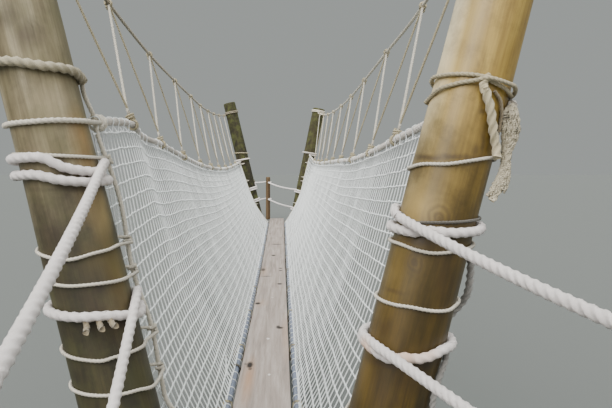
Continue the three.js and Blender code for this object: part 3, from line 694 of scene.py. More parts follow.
def laid_tail(node, diameter, material, lay_ratio):
    lay = diameter * lay_ratio
    route = smooth_route(TAIL_ROUTES[node], lay / TAIL_STEPS)
    mesh = rope_mesh([route], diameter, lay, groove=TAIL_GROOVE)
    piece = add_piece(f"{node}_rope", mesh, material, [node])


FRAYED_CORE = 0.022
FRAYED_YARN = 0.0088
FRAYED_YARNS = 42
FRAYED_YARN_LAY = 0.014
FRAYED_DEPTH = 0.62
FRAYED_STEP = 0.005
# Where along the tail the two tufts part, and by how much at the tip
TUFTS_PART = 0.62
TUFT_SPREAD = 0.007
# How wide the bundle is, from where it leaves the post's turns (0) to its tip (1)
FRAYED_WIDTHS = [(0, 0.018), (0.07, 0.036), (0.15, 0.050), (0.27, 0.057), (0.38, 0.047), (0.48, 0.032),
                 (0.6, 0.029), (0.72, 0.034), (0.86, 0.038), (1.0, 0.030)]


def read_table(table, t):
    for (t0, low), (t1, high) in zip(table, table[1:]):
        if t <= t1:
            return low + (high - low) * (t - t0) / (t1 - t0)
    return table[-1][1]


def frayed_tail(node):
    """A rope's end come unlaid: a loose bundle of crimped yarns, wide below its fold, then two tufts."""
    route = smooth_route(TAIL_ROUTES[node], FRAYED_STEP)
    length = len(route) - 1
    yarns = []
    for number in range(FRAYED_YARNS):
        angle = 2 * math.pi * number / FRAYED_YARNS * 3 + rng.uniform(-0.3, 0.3)
        depth = rng.choice((0.6, 0.85, 1.0))
        crimp = rng.uniform(0.0010, 0.0020)
        pitch = rng.uniform(0.020, 0.030)
        phase = rng.uniform(0, 6)
        right = math.cos(angle) > 0
        stop = rng.uniform(0.80, 0.90) if right else rng.uniform(0.92, 1.0)
        yarn = []
        for i in range(int(length * stop) + 1):
            t = i / length
            along = i * FRAYED_STEP
            ahead = (route[min(i + 1, length)] - route[max(i - 1, 0)]).normalized()
            side = Vector((1, 0, 0))
            side = (side - ahead * side.dot(ahead)).normalized()
            up = ahead.cross(side)
            out = depth * (read_table(FRAYED_WIDTHS, t) - FRAYED_YARN) / 2
            turn = angle + 0.2 * math.sin(along * 30 + phase)
            wave = crimp * math.sin(2 * math.pi * along / pitch + phase)
            split = TUFT_SPREAD * max(0, t - TUFTS_PART) / (1 - TUFTS_PART) * (1 if right else -1)
            yarn.append(route[i] + side * (out * math.cos(turn) + wave + split)
                        + up * (FRAYED_DEPTH * out * math.sin(turn) + 0.7 * wave))
        yarns.append(yarn)
    mesh = rope_mesh(yarns, FRAYED_YARN, FRAYED_YARN_LAY, strands=2, per_strand=3, groove=TAIL_GROOVE)
    spread = add_piece(f"{node}_yarns", mesh, frayed_rope)
    piece = cord_piece(f"{node}_core", [TAIL_ROUTES[node]], FRAYED_CORE, frayed_rope, "thin_rope", [node],
                       steps_per_lay=TAIL_STEPS, per_strand=5, groove=TAIL_GROOVE)


laid_tail("near_right_hand_tail", diameter=0.028, material=tan_rope, lay_ratio=TAIL_LAY)
laid_tail("near_right_thin_tail", diameter=0.011, material=dull_cord, lay_ratio=ROPE_LAY)
frayed_tail("near_right_frayed_tail")


# Timber

def long_edges(bm, axis, least):
    """The edges that run further than a given length along an axis."""
    return [e for e in bm.edges if abs(e.verts[0].co[axis] - e.verts[1].co[axis]) > least]


def round_edges(bm, edges, width):
    bmesh.ops.bevel(bm, geom=edges, offset=width, offset_type="OFFSET", segments=2, profile=0.5,
                    affect="EDGES", material=-1)


# Growth marks on a pole: how many sizes they reach, how high they stand, how sharp their ring and core are
MARK_REACH = 3
MARK_LIFT = 0.105
RING_SHARPNESS = 14
CORE_SHARPNESS = 4


def pole(height, radius_foot, radius_top, wobble, marks, seed, insets, sides, rings=150, chamfer=0.006):
    """A round pole in its own upright frame: swellings, a slow bend, growth marks in the mesh, and rings
    round the middle of its sawn top."""
    bm = bmesh.new()
    bmesh.ops.create_cone(bm, cap_ends=True, segments=sides, radius1=1, radius2=1, depth=1,
                          matrix=Matrix.Translation((0, 0, 0.5)))
    bmesh.ops.subdivide_edges(bm, edges=long_edges(bm, 2, 0.5), cuts=rings, use_grid_fill=True)
    layer = bm.verts.layers.float.new("mark")
    for vert in bm.verts:
        z = vert.co.z * height
        angle = math.atan2(vert.co.y, vert.co.x)
        radius = radius_foot + (radius_top - radius_foot) * vert.co.z
        out = Vector((vert.co.x, vert.co.y, 0))
        slow = noise.noise(Vector((seed, z * 1.3, 0))) * wobble
        east, north = math.cos(angle), math.sin(angle)
        bumps = noise.noise(Vector((east * 1.4 + seed, north * 1.4, z * 2.2))) * wobble
        fine = noise.noise(Vector((east * 5, north * 5 + seed, z * 3.0))) * wobble * 0.25
        mark = 0.0
        lift = 0.0
        for mark_angle, mark_z, size, strength in marks:
            across = (angle - math.radians(mark_angle) + math.pi) % (2 * math.pi) - math.pi
            distance = math.hypot(across * radius, (z - mark_z) * 0.8) / size
            if distance < MARK_REACH:
                lift += MARK_LIFT * size * strength * math.exp(-(distance**2))
                ring = math.exp(-((distance - 1) ** 2) * RING_SHARPNESS)
                core = math.exp(-(distance**2) * CORE_SHARPNESS)
                mark = max(mark, strength * max(core, 0.6 * ring))
        vert[layer] = mark
        scale = radius + bumps + fine + lift
        if out.length < 0.5:
            scale = radius
        if vert.co.z > 1 - 1e-6:
            scale -= chamfer
        vert.co = Vector((out.x * scale + slow, out.y * scale, z))
    top = max((f for f in bm.faces if f.normal.z > 0.9), key=lambda f: f.calc_center_median().z)
    for inset in insets:
        bmesh.ops.inset_region(bm, faces=[top], thickness=inset)
    bmesh.ops.poke(bm, faces=[top])
    return bm


# Growth marks on each main post: degrees round it, height, size, strength
POST_MARKS = {
    "near_left": [(-60, 1.72, 0.020, 0.8), (-130, 1.30, 0.014, 0.5), (-100, 0.80, 0.018, 0.6),
                  (-20, 2.1, 0.02, 0.7)],
    "near_right": [(-118, 1.115, 0.030, 0.75), (-100, 1.62, 0.010, 0.5), (-50, 1.50, 0.014, 0.6),
                   (-95, 0.66, 0.02, 0.5), (-135, 0.86, 0.012, 0.45), (60, 1.4, 0.02, 0.6),
                   (150, 0.9, 0.018, 0.6)],
    "far_left": [(-90, 1.9, 0.02, 0.6), (-60, 1.2, 0.02, 0.6), (90, 1.5, 0.02, 0.6)],
    "far_right": [(-90, 1.7, 0.02, 0.6), (-120, 1.0, 0.02, 0.6), (90, 1.2, 0.02, 0.6)],
}
POST_TOP_RINGS = (0.008, 0.018, 0.03, 0.03)
POST_SKIN = 0.0003
POST_WOBBLE = 0.0035
# How far a post is made past the ground before it is cut off level
BELOW_GROUND = 0.06


def build_post(name, post, seed):
    near = name.startswith("near")
    height = post["top"] / math.cos(post["angle"])
    bm = pole(height + BELOW_GROUND, POST_RADIUS_FOOT + POST_SKIN, POST_RADIUS_TOP, POST_WOBBLE,
              POST_MARKS[name], seed, POST_TOP_RINGS, sides=72 if near else 48)
    bm.transform(Matrix.Translation((0, 0, -BELOW_GROUND)))
    lean = Matrix.Rotation(post["side"] * post["angle"], 4, "Y")
    bm.transform(Matrix.Translation(post_axis(post, 0)) @ lean)
    cut = bmesh.ops.bisect_plane(bm, geom=bm.verts[:] + bm.edges[:] + bm.faces[:], plane_co=(0, 0, 0),
                                 plane_no=(0, 0, 1), clear_inner=True)
    rim = [e for e in cut["geom_cut"] if isinstance(e, bmesh.types.BMEdge)]
    bmesh.ops.contextual_create(bm, geom=rim)
    material = pole_finish(f"{name} pole", post, **POLE_COLOURS[name])
    add_piece(f"{name}_pole", mesh_from(bm, name), material, [f"{name}_post"])


for seed, (name, post) in enumerate(POSTS.items()):
    build_post(name, post, 3.7 * seed + 1)


# The planks: their mesh, how far down they are worn, and how far marks, cup, grain and edges go
PLANK_EDGE = 0.003
PLANK_STEP = 0.020
PLANK_CUTS = 22
WORN_SKIN = 0.004
WORN_DEPTH, CUP_DEPTH, GRAIN_DEPTH, EDGE_WANDER = 0.0025, 0.0012, 0.0007, 0.0015


def build_plank(name, start, end):
    bm = bmesh.new()
    bmesh.ops.create_cube(bm, size=1, matrix=Matrix.Translation((0, (start + end) / 2, -0.5))
                          @ Matrix.Diagonal((PLANK_WIDTH, end - start, 1, 1)))
    for vert in bm.verts:
        vert.co.z *= PLANK_THICKNESS
    round_edges(bm, long_edges(bm, 1, 0.5), PLANK_EDGE)
    cuts = int((end - start) / PLANK_STEP)
    bmesh.ops.subdivide_edges(bm, edges=long_edges(bm, 1, 0.5), cuts=cuts, use_grid_fill=True)
    wide = [e for e in long_edges(bm, 0, 0.1) if abs(e.verts[0].co.y - e.verts[1].co.y) < 0.001]
    bmesh.ops.subdivide_edges(bm, edges=wide, cuts=PLANK_CUTS, use_grid_fill=True)
    for vert in bm.verts:
        x, y, z = vert.co
        across = x / (PLANK_WIDTH / 2)
        dip = 0.0
        if z > -WORN_SKIN:
            for mark_y, mark_across, length, width, strength in DECK_MARKS:
                sideways = (across - mark_across) * PLANK_WIDTH / 2 / width
                distance = math.hypot(sideways, (y - mark_y) / length)
                dip = max(dip, WORN_DEPTH * strength * math.exp(-(distance**4)))
        grain = GRAIN_DEPTH * noise.noise(Vector((x * 90, y * 3, 4)))
        cup = CUP_DEPTH * across**2
        edge = 0
        if abs(across) > 0.95:
            edge = EDGE_WANDER * noise.noise(Vector((y * 2.5, math.copysign(3, x), 9)))
        vert.co = Vector((x + edge, y, z + DECK_TOP - deck_drop(y) - dip - cup + grain))
    add_piece(name, mesh_from(bm, name), weathered_plank, [name.replace("board", "plank")])


build_plank("deck_board_near", -PLANK_OVERHANG, (SPAN - PLANK_JOINT) / 2)
build_plank("deck_board_far", (SPAN + PLANK_JOINT) / 2, SPAN + PLANK_OVERHANG)


def sawn_block(low, high, bevel, rough):
    """A squared timber with worn edges and a sawn, slightly uneven face."""
    bm = bmesh.new()
    size = high - low
    middle = (low + high) / 2
    bmesh.ops.create_cube(bm, size=1, matrix=Matrix.Translation(middle) @ Matrix.Diagonal((*size, 1)))
    round_edges(bm, bm.edges[:], bevel)
    longest = max(range(3), key=lambda i: size[i])
    runs = long_edges(bm, longest, size[longest] / 2)
    bmesh.ops.subdivide_edges(bm, edges=runs, cuts=int(size[longest] / 0.02), use_grid_fill=True)
    for vert in bm.verts:
        jitter = noise.noise(vert.co * 12 + Vector((5, 1, 2))) * rough
        away = vert.co - middle
        away[longest] = 0
        if away.length > 1e-4:
            vert.co -= away.normalized() * abs(jitter)
    return bm


for name in ("near_sill", "far_sill"):
    low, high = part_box(name)
    bm = sawn_block(low - ORIGIN_SHIFT, high - ORIGIN_SHIFT, bevel=0.008, rough=0.004)
    add_piece(f"{name}_timber", mesh_from(bm, name), grey_batten, [name])


BEARER_LENGTH, BEARER_WIDTH, BEARER_HEIGHT = 0.400, 0.070, 0.045
STRAP = 0.007
STRAP_LAY = 3.2
STRAPS_APART = 1.05
# A lashing's ring round a foot rope and a bearer: half its width, half its height, how far its middle lies
# below the rope's, and how much its corners stand out
RING_ACROSS, RING_UP, RING_DROP, RING_CORNERS = 0.021, 0.045, 0.022, 0.18
RING_POINTS = 16

for number in range(1, BAYS):
    y = number * BAY
    top = DECK_TOP - PLANK_THICKNESS - GAP - deck_drop(y)
    low = Vector((-BEARER_LENGTH / 2, y - BEARER_WIDTH / 2, top - BEARER_HEIGHT))
    high = Vector((BEARER_LENGTH / 2, y + BEARER_WIDTH / 2, top))
    mesh = mesh_from(sawn_block(low, high, bevel=0.003, rough=0.002), "batten")
    add_piece(f"deck_batten_{number}", mesh, grey_batten, [f"deck_bearer_{number}"])
    lashings = []
    for side in (-1, 1):
        centre = foot_point(side, y) - Vector((0, 0, RING_DROP))
        for k in (-1, 0, 1):
            ring = []
            for i in range(RING_POINTS):
                angle = 2 * math.pi * i / RING_POINTS
                square = 1 + RING_CORNERS * math.sin(2 * angle) ** 2
                across = RING_ACROSS * math.cos(angle) * square
                up = RING_UP * math.sin(angle) * square
                ring.append(centre + Vector((across, k * STRAP * STRAPS_APART, up)))
            lashings.append(ring)
    mesh = rope_mesh(lashings, STRAP, STRAP * STRAP_LAY, per_strand=3, closed=True)
    add_piece(f"deck_batten_{number}_lashing", mesh, tan_rope)


# Foot ropes, served with thin cord

RIB_PITCH = 0.009
RIB_VALLEY = 0.9
# Bays from a foot rope's turns on a post to its first place beside the deck
FOOT_ROPE_BEGINS = 0.4
FOOT_TURNS_NEAR = range(-220, 131, 25)
FOOT_TURNS_FAR = range(-130, 221, 25)

for side, side_name in SIDE_NAMES.items():
    near, far = POSTS[f"near_{side_name}"], POSTS[f"far_{side_name}"]
    height = DECK_TOP - PLANK_THICKNESS + FOOT_ROPE / 2
    route = [around_post(near, height, degrees, FOOT_ROPE / 2 + GAP) for degrees in FOOT_TURNS_NEAR]
    bays = [FOOT_ROPE_BEGINS, *(half / 2 for half in range(1, 2 * BAYS))]
    route += [foot_point(side, bay * BAY) for bay in bays]
    route.append(foot_point(side, SPAN - FOOT_ROPE_BEGINS * BAY))
    route += [around_post(far, height, degrees, FOOT_ROPE / 2 + GAP) for degrees in FOOT_TURNS_FAR]
    mesh = rope_mesh([smooth_route(route, RIB_PITCH / 2)], FOOT_ROPE, strands=0, per_strand=8,
                     swell=lambda i: 1.0 if i % 2 else RIB_VALLEY)
    add_piece(f"{side_name}_served_foot_rope", mesh, served_rope, [f"{side_name}_foot_rope"])


# Ropes on the posts

TURN_POINTS = 9
TURN_STEP = 360 / TURN_POINTS


def filled(stations):
    """The same stations round a post, with others put in where two lie far apart."""
    result = [stations[0]]
    for before, after in zip(stations, stations[1:]):
        count = max(1, math.ceil(abs(after[0] - before[0]) / TURN_STEP))
        for k in range(1, count + 1):
            result.append(tuple(a + (b - a) * k / count for a, b in zip(before, after)))
    return result


def round_post(post, stations, radius):
    """Points on a post's bark for a rope through stations: degrees, height, and lift off the bark."""
    stations = filled([(*station, 0.0)[:3] for station in stations])
    return [on_post(post, height, degrees, radius + GAP + lift) for degrees, height, lift in stations]


def full_turn(post, stations, radius):
    """A whole turn round a post, from its first station on round to the same place."""
    degrees, *rest = stations[0]
    return round_post(post, [*stations, (degrees + 360, *rest)], radius)


def climbing(post, z, degrees, radius, rise, steps):
    """Places on turns round a post that climb by a rise in each turn."""
    return [around_post(post, z + rise * k / TURN_POINTS, degrees + TURN_STEP * k, radius + GAP)
            for k in steps]


def wrap(centre, axis, radius, turns, pitch, start_degrees=0):
    """Turns of cord round a rope, along its axis."""
    axis = axis.normalized()
    side = Vector((0, 0, 1)).cross(axis)
    side = side.normalized() if side.length > 0.2 else Vector((1, 0, 0))
    up = axis.cross(side).normalized()
    count = max(4, round(turns * 8))
    route = []
    for k in range(count + 1):
        turn = turns * k / count
        angle = math.radians(start_degrees) + 2 * math.pi * turn
        along = (turn - turns / 2) * pitch
        route.append(centre + axis * along + side * radius * math.cos(angle) + up * radius * math.sin(angle))
    return route


# Hand ropes. The near right one runs round the back of its post and ends in the frayed tail; the near left
# one is tied to its post by two thin strands.

HAND_STATIONS = 40
FROM_POST = 0.30
LEFT_KNOT = Vector((-0.520, 0.200, DECK_TOP + 1.155))
RIGHT_HAND_WRAP = [(-20, 1.218), (0, 1.228), (30, 1.218), (60, 1.202), (90, 1.190)]
# Where a rope's turns round a far post begin: height above the deck and degrees
HAND_END = {"far_left": (1.045, -70), "far_right": (1.160, -90)}
UPPER_END = {"far_left": (1.885, -20), "far_right": (1.900, -90)}
HAND_END_TURNS = 1.6
UPPER_END_TURNS = 2.6
# The same for the upper ropes' near ends, whose turns lead downwards
UPPER_START = (2.060, 90)
UPPER_START_RISE = -0.0215
UPPER_START_TURNS = 3.1


def along_span(point_at, side, start):
    end = SPAN - FROM_POST
    return [point_at(side, start + (end - start) * k / HAND_STATIONS) for k in range(HAND_STATIONS + 1)]


def end_turns(place_name, begins, radius, turns):
    """Turns round a far post that a rope from the near side ends in, each just above the last."""
    height, degrees = begins[place_name]
    steps = range(round(turns * TURN_POINTS) + 1)
    return climbing(POSTS[place_name], DECK_TOP + height, degrees, radius, 2.1 * radius, steps)


right_start = [around_post(POSTS["near_right"], DECK_TOP + height, degrees, HAND_ROPE / 2 + GAP)
               for degrees, height in RIGHT_HAND_WRAP]
for side, leaves, first_y in ((-1, [LEFT_KNOT], 0.32), (1, right_start, 0.45)):
    side_name = SIDE_NAMES[side]
    route = [*leaves, *along_span(hand_point, side, first_y)]
    route += end_turns(f"far_{side_name}", HAND_END, HAND_ROPE / 2, HAND_END_TURNS)
    cord_piece(f"{side_name}_hand_line", [route], HAND_ROPE, ivory_rope, "laid_rope",
               [f"{side_name}_hand_rope"], steps_per_lay=10, per_strand=5, groove=0.22)

# Upper ropes, tied round the heads of the posts by three turns

for side, side_name in SIDE_NAMES.items():
    height, degrees = UPPER_START
    steps = reversed(range(round(UPPER_START_TURNS * TURN_POINTS) + 1))
    near = POSTS[f"near_{side_name}"]
    route = climbing(near, DECK_TOP + height, degrees, UPPER_ROPE / 2, UPPER_START_RISE, steps)
    route += along_span(upper_point, side, FROM_POST)
    route += end_turns(f"far_{side_name}", UPPER_END, UPPER_ROPE / 2, UPPER_END_TURNS)
    material = tan_upper if side == -1 else pale_upper
    cord_piece(f"{side_name}_upper_line", [route], UPPER_ROPE, material, "thin_rope",
               [f"{side_name}_upper_rope"], steps_per_lay=8, per_strand=3, groove=0.22)


# Hanger lacing: a strand from each upper node down to the hand rope on both sides of it. Two strands meet a
# hand's breadth above the hand rope and go on together to their knot.

PALE_HANGER = 0.015
MEETING_HEIGHT = 0.095
COLLAR_HEIGHT = 0.021
SLIP_KNOT_HEIGHT = 0.012
HEAD_KNOT_DROP = 0.013
STRANDS_APART = 0.010
TIE_DROP = 0.010
TIES_APART = 0.006
HANGER_SAG = 0.004
# Turns of cord: radius, number and pitch. The collar and the slip knot hold two strands above the hand rope.
COLLAR = (0.0165, 2.2, 0.011)
SLIP_KNOT = (0.0125, 1.4, 0.010)
HAND_HITCH = (HAND_ROPE / 2 + HANGER / 2, 2.6, 0.0135)
UPPER_HITCH = (UPPER_ROPE / 2 + HANGER / 2, 2.3, 0.0130)
HEAD_KNOT = (0.0095, 1.5, 0.012)


def hangers(side, side_name):
    pale, tan, turns = [], [], []
    for number in range(1, BAYS):
        y = number * BAY
        low = hand_point(side, y)
        along = (hand_point(side, y + 0.01) - low).normalized()
        head = (upper_point(side, y) - low).normalized()
        knot = low + head * (HAND_ROPE / 2 + COLLAR_HEIGHT)
        meeting = low + head * MEETING_HEIGHT
        for direction, strands, width in ((-1, tan, HANGER), (1, pale, PALE_HANGER)):
            top = upper_point(side, y + direction * BAY / 2)
            hang = (low - top).normalized()
            tie = top + hang * (UPPER_ROPE / 2 + TIE_DROP) - along * direction * TIES_APART
            bend = meeting + along * direction * STRANDS_APART
            middle = tie.lerp(bend, 0.5) + Vector((0, 0, rng.uniform(-0.003, 0.003) - HANGER_SAG))
            beside_knot = knot + along * direction * width * 0.45
            strands.append([tie, middle, bend, beside_knot, low + along * direction * STRANDS_APART])
        turns.append(wrap(knot, head, *COLLAR, rng.uniform(0, 360)))
        turns.append(wrap(low, along, *HAND_HITCH, rng.uniform(0, 360)))
        slip = low + head * (HAND_ROPE / 2 + SLIP_KNOT_HEIGHT)
        turns.append(wrap(slip, (head + along).normalized(), *SLIP_KNOT, rng.uniform(0, 360)))
    for number in range(BAYS):
        y = (number + 0.5) * BAY
        top = upper_point(side, y)
        along = (upper_point(side, y + 0.01) - top).normalized()
        turns.append(wrap(top, along, *UPPER_HITCH, rng.uniform(0, 360)))
        below = top - Vector((0, 0, UPPER_ROPE / 2 + HEAD_KNOT_DROP))
        turns.append(wrap(below, along, *HEAD_KNOT, rng.uniform(0, 360)))
    shape = dict(steps_per_lay=5, per_strand=3)
    cord_piece(f"{side_name}_hanger_pale_strands", pale, PALE_HANGER, pale_hanger, **shape)
    cord_piece(f"{side_name}_hanger_tan_strands", tan, HANGER, tan_rope, **shape)
    cord_piece(f"{side_name}_hanger_knots", turns, HANGER, tan_rope, "thin_rope",
               [f"{side_name}_hanger_lacing"], **shape)


for side, side_name in SIDE_NAMES.items():
    hangers(side, side_name)


# Nets of square mesh, knotted from thin cord, hung from the hand ropes and tied to the foot ropes

NET_ROWS = 22
NET_COLUMNS = 160
NET_START = 0.118
NET_ROW_CORD = 0.0062
NET_COLUMN_CORD = 0.0048
NET_KNOT = 0.0054
NET_TIE = 0.0042
NET_TOP_GAP = 0.026
NET_BOW_END = 0.070
NET_BOW_MIDDLE = 0.025
NET_FOOT_GAP = 0.004
NET_SLACK = 0.006
NET_SHIFT = 0.006
# How much closer the rows lie towards the foot rope
ROWS_CLOSER = 0.035
# A tie's steps round its rope, the degrees that it leaves open on each side, and its spread along the rope
TIE_STEPS = 8
TIE_OPENING = 30
TIE_SPREAD = 0.004
# The share of every second column that isn't tied to the hand rope
UNTIED = 0.35


def net_point(side, y, v):
    top = hand_point(side, y)
    foot = foot_point(side, y)
    down = (foot - top).normalized()
    top += down * (HAND_ROPE / 2 + NET_TOP_GAP)
    foot -= down * (FOOT_ROPE / 2 + NET_FOOT_GAP)
    from_middle = abs(2 * y / SPAN - 1)
    bow = NET_BOW_MIDDLE + (NET_BOW_END - NET_BOW_MIDDLE) * from_middle**4
    outwards = Vector((-side * down.z, 0, side * down.x))
    slack = NET_SLACK * noise.noise(Vector((y * 3.1, v * 4, side * 5)))
    return top.lerp(foot, v) + outwards * (bow * math.sin(math.pi * v**1.3) + slack)


def row_height(row):
    t = row / NET_ROWS
    return t + ROWS_CLOSER * math.sin(math.pi * t)


def tie_to(point_at, side, node, rope):
    """A small loop of net cord from a mesh corner round the rope beside it and back."""
    centre = point_at(side, node.y)
    along = (point_at(side, node.y + 0.01) - centre).normalized()
    away = (node - centre).normalized()
    across = along.cross(away).normalized()
    ring = []
    for k in range(TIE_STEPS + 1):
        angle = math.radians(TIE_OPENING + (360 - 2 * TIE_OPENING) * k / TIE_STEPS)
        out = (away * math.cos(angle) + across * math.sin(angle)) * (rope / 2 + NET_TIE / 2)
        ring.append(centre + out + along * TIE_SPREAD * (2 * k / TIE_STEPS - 1))
    return [node, *ring, node + along * 0.001]


def net(side, side_name):
    length = SPAN - 2 * NET_START
    grid = []
    for column in range(NET_COLUMNS + 1):
        y = NET_START + length * column / NET_COLUMNS
        nodes = []
        for row in range(NET_ROWS + 1):
            v = row_height(row)
            shift = NET_SHIFT * noise.noise(Vector((y * 6, row * 0.35, side * 3 + 20)))
            place_on = net_point(side, y + shift + rng.uniform(-0.002, 0.002), v)
            nodes.append(place_on + Vector((0, 0, rng.uniform(-0.0022, 0.0022))))
        grid.append(nodes)
    acrosses = [[nodes[row] for nodes in grid] for row in range(NET_ROWS + 1)]
    ties = []
    for column in range(1, NET_COLUMNS, 2):
        if rng.random() >= UNTIED:
            ties.append(tie_to(hand_point, side, grid[column][0], HAND_ROPE))
    for column in range(0, NET_COLUMNS + 1, 2):
        ties.append(tie_to(foot_point, side, grid[column][NET_ROWS], FOOT_ROPE))
    cords = ((grid, NET_COLUMN_CORD), (acrosses, NET_ROW_CORD), (ties, NET_TIE))
    meshes = [rope_mesh(routes, diameter, strands=0, per_strand=4) for routes, diameter in cords]
    add_piece(f"{side_name}_net_cords", joined(meshes), net_cord, [f"{side_name}_net"])
    columns = []
    for nodes in grid:
        bm = bmesh.new()
        for node in nodes:
            tip = Matrix.Rotation(rng.uniform(0, 3.1), 4, "X")
            turn = tip @ Matrix.Rotation(rng.uniform(0, 3.1), 4, "Y")
            size = Matrix.Diagonal((1.0, rng.uniform(1.0, 1.25), rng.uniform(0.8, 1.0), 1))
            bmesh.ops.create_cube(bm, size=1.25 * NET_KNOT, matrix=Matrix.Translation(node) @ turn @ size)
        columns.append(mesh_from(bm, "knots"))
    add_piece(f"{side_name}_net_knots", joined(columns), net_cord)


for side, side_name in SIDE_NAMES.items():
    net(side, side_name)


# Edge ropes down the nets' ends, and the thin turns that tie them to the posts

EDGE_ROPE = 0.017
LASHING = 0.012
LASHING_KNOT = dict(radius=EDGE_ROPE / 2 + LASHING / 2 - 0.002, turns=1.3, pitch=0.0125, start_degrees=30)
NEAR_LEFT_EDGE = [
    (-0.512, 1.150), (-0.500, 1.100), (-0.434, 0.911), (-0.392, 0.681), (-0.335, 0.514), (-0.300, 0.332),
    (-0.280, 0.258), (-0.222, 0.200), (-0.176, 0.165),
]
EDGE_OFFSET = 0.156
# Each turn's stations on its post: degrees and height above the deck
POST_TURNS = {
    "near_left": [
        [(-196, 1.037), (-122, 1.043), (-79, 1.048)],
        [(-175, 0.784), (-123, 0.771), (-90, 0.757)],
        [(-182, 0.688), (-120, 0.688), (-83, 0.685)],
        [(-196, 0.493), (-142, 0.490), (-119, 0.486), (-97, 0.479)],
        [(-172, 0.376), (-138, 0.385), (-109, 0.384)],
    ],
    "near_right": [
        [(-192, 1.006), (-145, 1.021), (-111, 1.021), (-83, 1.029), (-44, 1.038)],
        [(-192, 0.798), (-149, 0.793), (-120, 0.781), (-94, 0.775)],
        [(-192, 0.634), (-159, 0.630), (-132, 0.627), (-112, 0.626), (-83, 0.617), (-59, 0.613),
         (-44, 0.618)],
        [(-192, 0.285), (-120, 0.275), (-60, 0.280)],
    ],
    "far_left": [
        [(-180, 1.000), (-90, 1.005)],
        [(-180, 0.700), (-90, 0.705)],
        [(-180, 0.290), (-90, 0.290)],
    ],
    "far_right": [
        [(-180, 1.020), (-90, 1.000)],
        [(-180, 0.770), (-90, 0.770)],
        [(-180, 0.700), (-90, 0.700)],
        [(-180, 0.310), (-90, 0.310)],
    ],
}


def edge_route(place_name, side):
    if place_name == "near_left":
        return [Vector((x, EDGE_OFFSET, DECK_TOP + height)) for x, height in NEAR_LEFT_EDGE]
    y = EDGE_OFFSET if place_name.startswith("near") else SPAN - EDGE_OFFSET
    points = [net_point(side, y, v / 8) for v in range(9)]
    return [hand_point(side, y) - Vector((0, 0, HAND_ROPE / 2)), *points, foot_point(side, y)]


def lashings(place_name):
    post = POSTS[place_name]
    side = post["side"]
    near = place_name.startswith("near")
    edge = smooth_route(edge_route(place_name, side), 0.012)
    inwards = Vector((-side, 0, 0)) * (EDGE_ROPE / 2 + LASHING / 2)
    strands = []
    wraps = []
    for stations in POST_TURNS[place_name]:
        start_height = stations[0][1]
        height = DECK_TOP + start_height
        level = min(range(2, len(edge) - 2), key=lambda i: abs(edge[i].z - height))
        tie = edge[level]
        along = (edge[level + 1] - edge[level - 1]).normalized()
        if near:
            full = [*stations, (100, start_height + 0.01)]
        else:
            full = [(-100, start_height + 0.01), (0, start_height), (160, start_height)]
        over_post = round_post(post, full, LASHING / 2)
        start = tie + inwards + along * 0.012
        end = tie + inwards - along * 0.004
        strands.append([start, *over_post, end])
        wraps.append(wrap(tie, along, **LASHING_KNOT))
    mesh = joined([cord_mesh([edge], EDGE_ROPE, per_strand=4), cord_mesh(strands + wraps, LASHING, 6, 3)])
    add_piece(f"{place_name}_net_edge_and_ties", mesh, edge_cord, [f"{place_name}_net_lashing"])


for place_name in POSTS:
    lashings(place_name)

# The thicker turn above the hand rope on the far left post
HEAD_TURN_CORD = 0.020
HEAD_TURN = [(-180, 1.190), (-90, 1.195), (0, 1.190), (90, 1.185)]
head_turn = full_turn(POSTS["far_left"], HEAD_TURN, HEAD_TURN_CORD / 2)
cord_piece("far_left_head_turn", [head_turn], HEAD_TURN_CORD, tan_rope, per_strand=3)


# The near left post: the old thick turn, its strand, and the strands that hold the hand rope

near_left, near_right = POSTS["near_left"], POSTS["near_right"]
BAND = 0.030
BAND_STRAND_CORD = 0.017
BAND_TURN = [(-196, 1.272), (-167, 1.287), (-142, 1.291), (-117, 1.293), (-84, 1.303), (0, 1.310)]
band_strand = [
    on_post(near_left, 1.275, 160, 0.012),
    Vector((-0.535, 0.120, DECK_TOP + 1.235)),
    Vector((-0.524, 0.180, DECK_TOP + 1.175)),
    LEFT_KNOT,
]
band = full_turn(near_left, BAND_TURN, BAND / 2)
cord_piece("near_left_thick_turn", [band], BAND, brown_rope, "thin_rope", ["near_left_post_band"],
           steps_per_lay=12, per_strand=5, groove=0.3)
cord_piece("near_left_band_strand", [band_strand], BAND_STRAND_CORD, edge_cord)
HOLDING_CORD = 0.0175
HOLDING_TURN = [(-200, 1.146), (-118, 1.142), (-86, 1.137), (-24, 1.130), (60, 1.140), (120, 1.146)]
holding = [
    [LEFT_KNOT + Vector((0.012, -0.012, 0)), *round_post(near_left, HOLDING_TURN, HOLDING_CORD / 2),
     LEFT_KNOT + Vector((-0.012, -0.012, -0.004))],
    wrap(LEFT_KNOT + Vector((0, 0.010, 0)), Vector((0.1, 1, 0.05)),
         radius=0.021, turns=3.3, pitch=0.0145),
    wrap(LEFT_KNOT + Vector((0, 0.004, -0.002)), Vector((1, 0.3, 0.4)),
         radius=0.019, turns=1.6, pitch=0.0145),
]
cord_piece("near_left_hand_rope_strand", holding, HOLDING_CORD, edge_cord)

# The near right post: the thin turns over the tails' heads, and the dark knot

